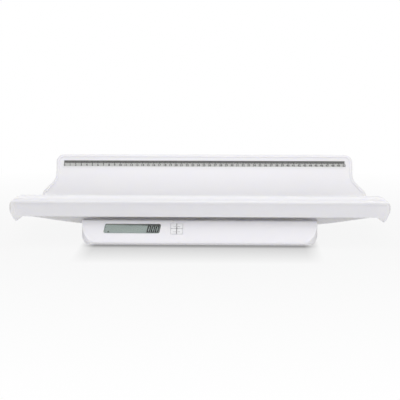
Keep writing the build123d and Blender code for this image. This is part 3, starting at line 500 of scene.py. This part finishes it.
def flatText(body, size, weight):
    # outline of a word as triangles in its own plane, centred on the origin
    curve = bpy.data.curves.new("word", "FONT")
    curve.body = body
    curve.size = size
    curve.offset = weight
    curve.resolution_u = 2
    curve.align_x = "CENTER"
    curve.align_y = "CENTER"
    obj = bpy.data.objects.new("word", curve)
    bpy.context.scene.collection.objects.link(obj)
    bpy.context.view_layer.update()
    mesh = bpy.data.meshes.new_from_object(obj)
    points = np.zeros(len(mesh.vertices) * 3)
    mesh.vertices.foreach_get("co", points)
    points = points.reshape(-1, 3)[:, :2]
    faces = np.array([polygon.vertices[:] for polygon in mesh.polygons])
    first, second = points[faces[:, 1]] - points[faces[:, 0]], points[faces[:, 2]] - points[faces[:, 0]]
    faces = faces[np.abs(first[:, 0] * second[:, 1] - first[:, 1] * second[:, 0]) > sliver]
    bpy.data.objects.remove(obj)
    bpy.data.meshes.remove(mesh)
    return points, faces


def bars(left, right, foot, top):
    # one rectangle for each row of the four arrays
    left, right, foot, top = np.broadcast_arrays(left, right, foot, top)
    corners = [np.stack(corner, -1) for corner in ((left, foot), (right, foot), (right, top), (left, top))]
    return np.stack(corners, 1).reshape(-1, 2), np.arange(len(left) * 4).reshape(-1, 4)


def gather(parts):
    # joins pairs of (points, faces) into one pair
    points, faces, count = [], [], 0
    for some, rows in parts:
        points.append(some)
        faces += [[int(corner) + count for corner in row] for row in rows]
        count += len(some)
    return np.concatenate(points), faces


# the rim's middle, the wall's lean, the drop and the stand place the film; tops, feet and the figures' line are
# measured down the film, and the lifts keep the inks clear of it and of each other
ruler = {"lean": 18.0, "rimY": 161.0, "rimZ": 114.7, "stand": 1.94, "drop": 8.6, "start": -250.0, "count": 50,
         "tickTop": 0.25, "tickFoot": 4.8, "fiveFoot": 5.3, "cmFoot": 5.9, "tickWidth": 0.8, "cmWidth": 0.9,
         "lineFoot": 0.75, "lineSpread": 0.4, "bandTop": 0.1, "bandFoot": 10.9, "bandSpread": 1.0,
         "figureSize": 5.7, "figureLine": 8.3, "figureWeight": 0.17, "inkLift": 0.03, "bandLift": 0.015}
leanY, leanZ = sin(radians(ruler["lean"])), cos(radians(ruler["lean"]))


def onWall(points, out):
    # point = rim's middle + x to the right + (drop and y) down the wall + (stand and out) away from it
    x, down = points[:, 0], ruler["drop"] + points[:, 1]
    stand = ruler["stand"] + out
    y = ruler["rimY"] - down * leanY - stand * leanZ
    z = ruler["rimZ"] - down * leanZ + stand * leanY
    return np.stack([x, y, z], -1)


def buildRuler():
    # a tick each millimetre, longer at fives and tens, one line along their tops, a grey band, a figure each cm
    r = ruler
    start, end = r["start"], -r["start"]
    steps = np.arange(r["count"] * 10 + 1)
    whole = steps % 10 == 0
    half = np.where(whole, r["cmWidth"], r["tickWidth"]) / 2
    foot = np.where(whole, r["cmFoot"], np.where(steps % 5 == 0, r["fiveFoot"], r["tickFoot"]))
    ticks = bars(start + steps - half, start + steps + half, foot, r["tickTop"])
    line = bars([start - r["lineSpread"]], [end + r["lineSpread"]], [r["lineFoot"]], [r["tickTop"]])
    band = bars([start - r["bandSpread"]], [end + r["bandSpread"]], [r["bandFoot"]], [r["bandTop"]])
    words = []
    for number in range(r["count"] + 1):
        flat, rows = flatText(str(number), r["figureSize"], r["figureWeight"])
        words.append((np.stack([flat[:, 0] + start + 10 * number, r["figureLine"] - flat[:, 1]], -1), rows))
    for name, (points, faces), lift, material in (
            ("rulerTicks", gather([ticks, line]), r["inkLift"], "rulerInk"),
            ("rulerBandPrint", band, r["bandLift"], "rulerBand"),
            ("rulerFigures", gather(words), r["inkLift"], "figureInk")):
        piece = meshFrom(name, onWall(points, lift), faces, materials[material], smooth=False)
        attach(piece, bodyOf["ruler_strip"])


buildRuler()
print("stage 3: ruler print")

# figures lie on the glass; the window's grey print and its painted shade of the recess lie on the back of the lens,
# each with its inset at the four corners, anticlockwise from the lower left
display = {"centre": -105.8, "glassOut": -2.37, "lensBack": -1.58,
           "digits": 3, "firstDigit": -79.5, "pitch": 6.5, "width": 5.7, "height": 12.8, "middle": 0.1,
           "stroke": 2.1, "gap": 0.05, "notch": 0.08, "slant": 11.0, "dot": (1.0, 1.1),
           "arrow": (-143.6, -6.1, 4.2, 3.0), "halfLength": 44.2, "halfHeight": 8.4, "lean": 1.4,
           # the dark inset, lift, fade, tint, grain and gloss make the painted shade of the window's recess, widest
           # along the top and darkest at the right
           "greyInset": ((1.75, 1.75),) * 4, "darkInset": ((0.25, 0.2), (0.9, 0.2), (1.6, 2.6), (0.4, 1.82)),
           "darkLift": 0.03, "darkFrom": -40.0, "darkTo": 44.0, "darkTones": (0.15, 0.05),
           "darkTint": (1.0, 1.08, 1.05), "darkGrain": 1500.0, "grainTone": (0.95, 1.05), "darkGloss": 0.4}


def segmentShapes(width, height, stroke, gap, notch):
    # mitred bars of the figure nought: a across the top, f down the upper left, the others are their mirrors
    w, h, t = width / 2, height / 2, stroke
    a = np.array([[gap - w, h], [w - gap, h], [w - t - gap, h - t], [t + gap - w, h - t]])
    f = np.array([[-w, h - gap], [t - w, h - t - gap], [t - w, gap + t * notch], [-w, gap]])
    flipX, flipY = np.array([-1, 1]), np.array([1, -1])
    return [a[::-1], f[::-1], a * flipY, f * flipX, f * flipY, (f * flipX * flipY)[::-1]]  # all face the reader


def windowEdge():
    # painted shade of the window's recess: a band that fades from mid grey at the left to near black at the right
    # end of the window
    material, tree, shader = newMaterial("windowEdge")
    point = objectPoint(tree)
    left, right = ((display["centre"] + display[end]) * mm for end in ("darkFrom", "darkTo"))
    fade = rangeNode(tree, axes(tree, point)["X"], left, right, *display["darkTones"])
    grain = noiseTone(tree, noiseNode(tree, point, display["darkGrain"]), *display["grainTone"])
    tone = mathNode(tree, "MULTIPLY", fade, grain)
    tree.links.new(toneColour(tree, tone, display["darkTint"]), shader.inputs["Base Color"])
    fill(shader, {"Roughness": display["darkGloss"]})
    return material


def buildDisplay():
    # three noughts with a point after the first, and a small arrow at the far left
    d = display
    lean = tan(radians(d["slant"]))
    shapes = segmentShapes(d["width"], d["height"], d["stroke"], d["gap"], d["notch"])
    foot = -d["height"] / 2
    parts = []
    for digit in range(d["digits"]):
        for shape in shapes:
            middle = d["firstDigit"] + digit * d["pitch"] + lean * shape[:, 1]
            parts.append((np.stack([shape[:, 0] + middle, shape[:, 1] + d["middle"]], -1), [[0, 1, 2, 3]]))
    x, (wide, tall) = d["firstDigit"] + d["pitch"] / 2 + lean * foot, d["dot"]
    base = foot + d["middle"]
    parts.append(bars([x - wide / 2], [x + wide / 2], [base], [base + tall]))
    x, base, wide, tall = d["arrow"]
    parts.append((np.array([[x - wide / 2, base], [x + wide / 2, base], [x, base + tall]]), [[0, 1, 2]]))
    points, faces = gather(parts)
    figures = meshFrom("displayFigures", onFace(points[:, 0], points[:, 1], d["glassOut"]), faces,
                       materials["segmentInk"], smooth=False)
    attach(figures, bodyOf["lcd_glass"])
    # the grey print and the painted shade band are each the strip between the window's leaning outline and the same
    # outline set in at its corners
    long, tall, lean = d["halfLength"], d["halfHeight"], d["lean"]
    outer = np.array([[-long - lean, -tall], [long - lean, -tall], [long + lean, tall], [lean - long, tall]])
    inward = np.array([[1, 1], [-1, 1], [-1, -1], [1, -1]])
    around = [[i, (i + 1) % 4, 4 + (i + 1) % 4, 4 + i] for i in range(4)]
    for name, inset, material, lift in (("windowGreyPrint", "greyInset", "windowGrey", 0.0),
                                        ("windowEdgePrint", "darkInset", "windowEdge", d["darkLift"])):
        points = np.concatenate([outer, outer + inward * np.array(d[inset])])
        place = onFace(points[:, 0] + d["centre"], points[:, 1], d["lensBack"] + lift)
        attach(meshFrom(name, place, around, materials[material], smooth=False), bodyOf["display_lens"])


materials["windowEdge"] = windowEdge()
buildDisplay()
print("stage 4: display")

legends = {  # word, which side of the block's middle, height up the face
    "unit_key": ("UNIT", -1, 3.1), "hold_key": ("HOLD", 1, 3.1), "tare_key": ("TARE", -1, -6.0),
    "power_key": ("ON/OFF", 1, -6.0)}
keyPad = {"middle": -35.5, "stand": 0.82, "across": 3.2, "size": 1.75, "longSize": 1.26, "weight": 0.02}


def buildLegends():
    # each word lies on its key, a stand above the console's face; the word with a stroke is the long one
    for node, (word, side, up) in legends.items():
        size = keyPad["longSize"] if "/" in word else keyPad["size"]
        flat, rows = flatText(word, size, keyPad["weight"])
        x = keyPad["middle"] + side * keyPad["across"] + flat[:, 0]
        place = onFace(x, up + flat[:, 1], keyPad["stand"])
        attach(meshFrom("legend_" + node, place, rows, materials["keyInk"], smooth=False), bodyOf[node])


buildLegends()
print("stage 5: key legends")


# turned and wound metal pieces

def turnedGrid(place, axis, radius, height):
    # point = place + axis * height + radius * (cos a, sin a) in the plane square to the axis
    place, axis = np.asarray(place, float), np.asarray(axis, float) / np.linalg.norm(axis)
    first = np.cross(axis, [1.0, 0.0, 0.0] if abs(axis[0]) < 0.9 else [0.0, 1.0, 0.0])
    first /= np.linalg.norm(first)
    second = np.cross(axis, first)
    angle = np.linspace(0, 2 * pi, radius.shape[1], endpoint=False)
    return (place + height[..., None] * axis + (radius * np.cos(angle))[..., None] * first
            + (radius * np.sin(angle))[..., None] * second)


# the slot's width and reach are shares of the head's radius, its depth and the crown are shares of its height
screwShape = {"around": 24, "headShares": (0.0, 0.12, 0.22, 0.34, 0.46, 0.54, 0.62, 0.8, 0.92, 1.0),
              "crown": 0.55, "slotWidth": 0.24, "slotReach": 0.6, "slotDepth": 0.62, "threadDepth": 0.14,
              "threadPitch": 1.1, "rowsPerTurn": 5, "tip": 1.6, "tipShare": 0.25}


def screwParts(place, axis, shank, length, head, headHeight):
    # pan head: height falls with the fourth power of the radius, minus a cross slot; thread: radius plus a
    # ramp that repeats each pitch and turns with the angle; the axis points from the head along the shank
    s = screwShape
    count = s["around"] * 2
    angle = np.linspace(0, 2 * pi, count, endpoint=False)[None, :]
    share = np.array(s["headShares"])[:, None]
    radius = share * head * np.ones_like(angle)
    across = np.minimum(np.abs(np.cos(angle)), np.abs(np.sin(angle))) * share * head
    slot = (across < s["slotWidth"] * head / 2) & (share < s["slotReach"])
    top = -headHeight * (1 - s["crown"] * share ** 4) + slot * headHeight * s["slotDepth"]
    radius = np.vstack([radius, radius[-1:], radius[-1:] * 0.0])  # down the head's side and in under it
    top = np.vstack([top, np.zeros((2, count))])
    headPoints = turnedGrid(place, axis, radius, top)
    rows = int(length / s["threadPitch"] * s["rowsPerTurn"]) + 2
    along = np.linspace(0, length, rows)[:, None]
    turn = np.linspace(0, 1, s["around"] // 2, endpoint=False)[None, :]
    ramp = 1 - np.abs(2 * np.mod(along / s["threadPitch"] - turn, 1.0) - 1)
    taper = np.clip((length - along) / s["tip"], s["tipShare"], 1.0)
    body = (shank - s["threadDepth"] + s["threadDepth"] * ramp) * taper
    body = np.vstack([body[:1] * 0.0, body, body[-1:] * 0.0])
    along = np.vstack([np.zeros_like(turn), along * np.ones_like(turn), np.full_like(turn, length)])
    threadPoints = turnedGrid(place, axis, body, along)
    return [(points.reshape(-1, 3), gridFaces(*points.shape[:2], ring=True))
            for points in (headPoints, threadPoints)]


# the four load cells stand at x, front and rear, with a screw at each ear of their holders
feet = {"x": 138.0, "front": -120.0, "rear": 80.0, "ear": 25.5}
cellPlaces = [(x, y) for x in (-feet["x"], feet["x"]) for y in (feet["front"], feet["rear"])]
postPlaces = ((169.0, -10.0), (60.0, -78.0), (75.0, 102.0))
screwSets = {  # shank and head are radii
    "housing_screws": dict(
        places=[(side * x, y, 6.6) for x, y in postPlaces for side in (-1, 1)],
        axis=(0, 0, 1), shank=1.5, length=11.0, head=2.8, headHeight=1.8),
    "holder_screws": dict(
        places=[(x + side * feet["ear"], y, 9.6) for x, y in cellPlaces for side in (-1, 1)],
        axis=(0, 0, -1), shank=1.4, length=4.6, head=2.4, headHeight=1.4),
    "board_screws": dict(
        places=[onFace(x, up, -9.6) for x, up in ((-157.0, 0.0), (-54.0, -9.0), (-54.0, 9.0), (-17.0, 0.0))],
        axis=tuple(faceOut), shank=1.3, length=6.1, head=2.3, headHeight=1.4),
}


def buildScrews():
    for node, values in screwSets.items():
        sizes = dict(values)
        places = sizes.pop("places")
        points, faces = gather([part for place in places for part in screwParts(place, **sizes)])
        screws = meshFrom("turned_" + node, points, faces, materials["screwZinc"])
        closeNormals(screws)
        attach(screws, bodyOf[node])
        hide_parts(node)


buildScrews()
print("stage 6: screws")

# the coil has risen all the way at t = 1 / rise, and lies flat from there
spring = {"turns": 5.0, "wire": 0.42, "small": 1.75, "large": 2.95, "around": 8, "steps": 150, "rise": 1.15}


def tubeAlong(centre, radius, around):
    # ring of points round each path point, in the plane square to the path; both ends are closed by a face
    way = np.gradient(centre, axis=0)
    way /= np.linalg.norm(way, axis=1)[:, None]
    side = np.cross(way, [0.0, 1.0, 0.0])
    side /= np.linalg.norm(side, axis=1)[:, None]
    other = np.cross(way, side)
    angle = np.linspace(0, 2 * pi, around, endpoint=False)
    rings = (centre[:, None, :] + radius * np.cos(angle)[None, :, None] * side[:, None, :]
             + radius * np.sin(angle)[None, :, None] * other[:, None, :])
    return rings.reshape(-1, 3), closedFaces(len(centre), around)


def closedFaces(rows, columns):
    # the quads between the rings, the last ring as one face, and the first ring the other way round
    ends = [[(rows - 1) * columns + k for k in range(columns)], [columns - 1 - k for k in range(columns)]]
    return gridFaces(rows, columns, ring=True).tolist() + ends


def buildSprings():
    # wound cone: centre line = axis point + r(t) * (cos, sin) of the turn's angle, t from 0 to 1; a tube round it
    s = spring
    low, high = boxOf("contact_springs")
    t = np.linspace(0, 1, s["steps"])
    reach = s["small"] + (s["large"] - s["small"]) * t
    turn = 2 * pi * s["turns"] * t
    parts = []
    for cell in battery["cells"]:
        first, last = boxOf(cell)
        x, z = (first[0] + last[0]) / 2, (first[2] + last[2]) / 2
        start, end = (first[1], low[1]) if cell in battery["turned"] else (last[1], high[1])
        inset = s["wire"] * np.sign(end - start)
        y = start + inset + (end - start - 2 * inset) * np.clip(t * s["rise"], 0, 1)
        centre = np.stack([x + reach * np.cos(turn), y, z + reach * np.sin(turn)], -1)
        parts.append(tubeAlong(centre, s["wire"], s["around"]))
    points, faces = gather(parts)
    coils = meshFrom("woundSprings", points, faces, materials["contactNickel"])
    closeNormals(coils)
    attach(coils, bodyOf["contact_springs"])
    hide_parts("contact_springs")


buildSprings()
print("stage 7: springs")

# steps: how far from each ring the sole's height changes, and the share of the groove's depth there
padShape = {"radius": 13.0, "thickness": 2.6, "edge": 0.7, "bevel": 0.3, "groove": 0.55, "around": 64,
            "rings": (4.0, 6.6, 9.2),
            "steps": ((-0.6, 0.0), (-0.35, 0.0), (0.75, 0.0), (0.95, 1.0), (1.75, 1.0), (1.95, 0.0))}


def buildPads():
    # rubber pad: a profile turned round its middle, with three ring grooves in the sole and a dished centre
    radius, top, edge, groove = (padShape[key] for key in ("radius", "thickness", "edge", "groove"))
    bevel = edge * padShape["bevel"]
    profile = [(0.0, groove)]
    for ring in padShape["rings"]:
        profile += [(ring + step, share * groove) for step, share in padShape["steps"]]
    profile[1] = (profile[1][0], groove)  # the dish ends at the first ridge
    profile += [(radius - edge, 0.0), (radius - bevel, bevel), (radius, edge), (radius, top), (0.0, top)]
    profile = np.array(profile)
    turned = [profile[:, column:column + 1] * np.ones((1, padShape["around"])) for column in (0, 1)]
    for node in nodes:
        if not node.startswith("foot_pad_"):
            continue
        low, high = boxOf(node)
        place = ((low[0] + high[0]) / 2, (low[1] + high[1]) / 2, low[2])
        points = turnedGrid(place, (0, 0, 1), *turned).reshape(-1, 3)
        pad = meshFrom("ribbed_" + node, points, gridFaces(len(profile), padShape["around"], ring=True),
                       materials["footRubber"], smooth=False)
        closeNormals(pad)
        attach(pad, bodyOf[node])
        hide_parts(node)


buildPads()

# strain gauge and bead on each cell's tongue: size across, along and up, and how far behind the middle it lies
gauge = {"foil": (4.2, 5.6, 0.35), "foilOffset": 10.4, "bead": (3.6, 2.6, 1.1), "beadOffset": 7.0, "sink": 0.02,
         "square": 0.7, "crown": 2.6, "flatTop": 0.02, "rows": 9, "columns": 24}


def cushion(centre, size):
    # low rounded blob over a squarish oval: height = size * (1 - share ^ crown), oval = cos and sin to a power
    share = np.linspace(1, gauge["flatTop"], gauge["rows"])[:, None]
    angle = np.linspace(0, 2 * pi, gauge["columns"], endpoint=False)[None, :]
    x, y = (middle + across / 2 * share * np.sign(wave) * np.abs(wave) ** gauge["square"]
            for middle, across, wave in zip(centre, size, (np.cos(angle), np.sin(angle))))
    z = centre[2] + size[2] * (1 - share ** gauge["crown"]) * np.ones_like(angle)
    return np.stack([x, y, z], -1).reshape(-1, 3), closedFaces(gauge["rows"], gauge["columns"])


def buildGauges():
    for node in nodes:
        if not node.startswith("load_cell_"):
            continue
        low, high = boxOf(node)
        x, y, z = (low[0] + high[0]) / 2, (low[1] + high[1]) / 2, high[2] - gauge["sink"]
        for start, kind, material in (("gauge_", "foil", "gaugeAmber"), ("bead_", "bead", "siliconeWhite")):
            points, faces = cushion((x, y + gauge[kind + "Offset"], z), gauge[kind])
            piece = meshFrom(start + node, points, faces, materials[material])
            closeNormals(piece)
            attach(piece, bodyOf[node])


buildGauges()

# a pin leaves the chip at its height, bends down at the knee, and lies on the board from its foot to its reach
chip = {"centre": (-91.8, 0.0), "side": 12.0, "sink": 0.05, "pins": 11, "pitch": 0.95, "width": 0.42,
        "knee": 0.35, "foot": 0.6, "reach": 1.2, "height": 0.55, "sole": 0.05, "board": -9.6, "thick": 0.12}


def buildPins():
    # gull-wing pins: each a flat strip out of the chip's side, down to the board and out again
    c = chip
    start = c["side"] / 2 - c["sink"]
    way = np.array([(start, c["height"]), (start + c["knee"], c["height"]), (start + c["foot"], c["sole"]),
                    (start + c["reach"], c["sole"])])
    rise = np.repeat(way[:, 1], 2)
    parts = []
    for quarter in range(4):
        angle = quarter * pi / 2
        turn = np.array([[cos(angle), -sin(angle)], [sin(angle), cos(angle)]])
        for offset in (np.arange(c["pins"]) - (c["pins"] - 1) / 2) * c["pitch"]:
            edge = np.array([offset - c["width"] / 2, offset + c["width"] / 2])
            flat = np.stack([np.repeat(way[:, 0], 2), np.tile(edge, len(way))], -1) @ turn.T + c["centre"]
            parts.append((onFace(flat[:, 0], flat[:, 1], c["board"] - rise), gridFaces(len(way), 2)))
    points, faces = gather(parts)
    pins = meshFrom("chipPins", points, faces, materials["pinTin"], smooth=False)
    thick = pins.modifiers.new("thick", "SOLIDIFY")
    thick.thickness = c["thick"] * mm
    thick.offset = 0.0
    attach(pins, bodyOf["control_chip"])


buildPins()

doorMark = {"width": 5.0, "behind": 5.5, "back": 2.2, "tip": -1.6, "sink": 0.02}


def buildDoorMark():
    # arrow printed on the battery door, pointing at its catch
    low, high = boxOf("battery_door")
    x, y = (low[0] + high[0]) / 2, low[1] + doorMark["behind"]
    z = boxOf("lower_housing")[0][2] - doorMark["sink"]
    half, back = doorMark["width"] / 2, y + doorMark["back"]
    points = [(x - half, back, z), (x + half, back, z), (x, y + doorMark["tip"], z)]
    arrow = meshFrom("doorArrow", points, [[0, 1, 2]], materials["doorInk"], smooth=False)
    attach(arrow, bodyOf["battery_door"])


buildDoorMark()
print("stage 8: feet, load cells, chip, door mark")

# floor in metres: its own shade as light and as seen, how much of that shade shows beside, before and under the
# base, and the edges between; the sky's strength at the zenith and at the horizon
stage = {"floorBounce": 0.34, "floorSeen": 0.44, "floorGlow": 0.27, "floorRough": 0.9, "floorHalf": 14.0,
         "sideShare": 0.10, "frontShare": 0.56, "underShare": 0.8, "baseHalf": 0.178, "baseRear": 0.11,
         "sideSoft": 0.012, "rearSoft": 0.02, "frontFrom": -0.31, "frontTo": -0.165, "underSoft": (0.004, 0.02),
         "fadeFrom": 0.35, "fadeTo": 1.1, "skyTop": 0.78, "skyLow": 0.60}


def floorShare(tree):
    # how much of the paper's own shade the camera sees: most of it under the base, less and less in front of
    # it, a little beside it and none far away
    s = stage
    point = objectPoint(tree)
    place = axes(tree, point)
    aside, along = mathNode(tree, "ABSOLUTE", place["X"]), place["Y"]
    middle = rangeNode(tree, aside, s["baseHalf"] - s["sideSoft"], s["baseHalf"] + s["sideSoft"], 1.0, 0.0)
    behind = rangeNode(tree, along, s["baseRear"] - s["rearSoft"], s["baseRear"] + s["rearSoft"], 1.0, 0.0)
    ahead = rangeNode(tree, along, s["frontFrom"], s["frontTo"], 0.0, s["frontShare"] - s["sideShare"])
    low, high = s["underSoft"]
    under = rangeNode(tree, along, s["frontTo"] + low, s["frontTo"] + high, 0.0, s["underShare"] - s["frontShare"])
    within = mathNode(tree, "MULTIPLY", middle, behind)
    near = mathNode(tree, "MULTIPLY", within, mathNode(tree, "ADD", ahead, under))
    length = tree.nodes.new("ShaderNodeVectorMath")
    length.operation = "LENGTH"
    tree.links.new(point, length.inputs[0])
    far = rangeNode(tree, length.outputs["Value"], s["fadeFrom"], s["fadeTo"], 1.0, 0.0)
    return mathNode(tree, "MULTIPLY", mathNode(tree, "ADD", near, s["sideShare"]), far)


def seenRay(tree):
    # 1 for what the camera sees, straight, through the window or in a reflection
    path = tree.nodes.new("ShaderNodeLightPath")
    bent = mathNode(tree, "MAXIMUM", path.outputs["Is Glossy Ray"], path.outputs["Is Transmission Ray"])
    return mathNode(tree, "MAXIMUM", bent, path.outputs["Is Camera Ray"])


def buildFloor():
    half = stage["floorHalf"]
    mesh = bpy.data.meshes.new("floor")
    mesh.from_pydata([(-half, -half, 0), (half, -half, 0), (half, half, 0), (-half, half, 0)], [], [(0, 1, 2, 3)])
    floor = bpy.data.objects.new("floor", mesh)
    bpy.context.scene.collection.objects.link(floor)
    material, tree, shader = newMaterial("floorPaper")
    seen = seenRay(tree)
    tone = rangeNode(tree, seen, 0.0, 1.0, stage["floorBounce"], stage["floorSeen"])
    tree.links.new(toneColour(tree, tone, (1.0, 1.0, 1.0)), shader.inputs["Base Color"])
    fill(shader, {"Roughness": stage["floorRough"], "Specular IOR Level": 0.0})
    # the camera sees white paper with a share of shadow; to every other ray the paper also glows, an even, soft
    # painted light on the object besides its bounce
    hidden = mathNode(tree, "SUBTRACT", 1.0, floorShare(tree))
    white = mathNode(tree, "MAXIMUM", mathNode(tree, "MULTIPLY", hidden, seen),
                     mathNode(tree, "SUBTRACT", stage["floorGlow"], seen))
    paper = mixShaders(tree, white, shader.outputs[0], tree.nodes.new("ShaderNodeEmission").outputs[0])
    # from beneath, the paper is clear, so that the underside and the battery door can be looked at
    beneath = tree.nodes.new("ShaderNodeNewGeometry").outputs["Backfacing"]
    clear = tree.nodes.new("ShaderNodeBsdfTransparent").outputs[0]
    surface = mixShaders(tree, beneath, paper, clear)
    tree.links.new(surface, tree.nodes["Material Output"].inputs["Surface"])
    floor.data.materials.append(material)


def buildWorld():
    # soft sky, brighter overhead; plain white where it is seen
    world = bpy.data.worlds.new("studio")
    bpy.context.scene.world = world
    world.use_nodes = True
    tree = world.node_tree
    sky, plain = tree.nodes["Background"], tree.nodes.new("ShaderNodeBackground")
    height = axes(tree, tree.nodes.new("ShaderNodeTexCoord").outputs["Generated"])["Z"]
    strength = rangeNode(tree, height, 0.0, 1.0, stage["skyLow"], stage["skyTop"])
    tree.links.new(strength, sky.inputs["Strength"])
    for background in (sky, plain):
        fill(background, {"Color": (1, 1, 1, 1)})
    backdrop = mixShaders(tree, seenRay(tree), sky.outputs[0], plain.outputs[0])
    tree.links.new(backdrop, tree.nodes["World Output"].inputs["Surface"])


lamps = {  # in metres and watts
    "topBox": dict(place=(0.0, -0.25, 1.7), aim=(0.0, 0.0, 0.05), size=(1.8, 1.1), power=5.6),
    "keyBox": dict(place=(0.35, -2.2, 1.05), aim=(0.0, 0.0, 0.06), size=(1.5, 0.9), power=2.0),
    "lowBox": dict(place=(0.2, -2.6, 0.28), aim=(0.0, 0.0, 0.05), size=(1.6, 0.5), power=18.0),
}


def aimedMatrix(place, aim, roll=0.0):
    # stands at place, looks at aim, and is rolled about its line of sight
    place, aim = Vector(place), Vector(aim)
    turn = (aim - place).to_track_quat("-Z", "Y").to_matrix().to_4x4()
    return Matrix.Translation(place) @ turn @ Matrix.Rotation(roll, 4, "Z")


def buildLamp(name, place, aim, size, power):
    data = bpy.data.lights.new(name, "AREA")
    data.shape = "RECTANGLE"
    data.size, data.size_y = size
    data.energy = power
    lamp = bpy.data.objects.new(name, data)
    bpy.context.scene.collection.objects.link(lamp)
    lamp.matrix_world = aimedMatrix(place, aim)


# in metres and degrees: the camera goes round the middle of the tray's lip and aims a little below it
cameraPlan = {"lens": 123.84, "distance": 2.1543, "azimuth": 1.543, "elevation": 6.952, "roll": 0.04,
              "lip": (0.0013, -0.157, 0.078), "below": 0.003}


def buildCamera():
    plan = cameraPlan
    az, el = radians(plan["azimuth"]), radians(plan["elevation"])
    lip = Vector(plan["lip"])
    place = lip + plan["distance"] * Vector((sin(az) * cos(el), -cos(az) * cos(el), sin(el)))
    data = bpy.data.cameras.new("camera")
    data.lens = plan["lens"]
    data.clip_end = 100.0
    camera = bpy.data.objects.new("camera", data)
    bpy.context.scene.collection.objects.link(camera)
    camera.matrix_world = aimedMatrix(place, lip - Vector((0, 0, plan["below"])), radians(plan["roll"]))
    bpy.context.scene.camera = camera


buildFloor()
buildWorld()
for name, values in lamps.items():
    buildLamp(name, **values)
buildCamera()
bpy.context.scene.view_settings.view_transform = "Standard"
print("stage 9: floor, lamps and camera")
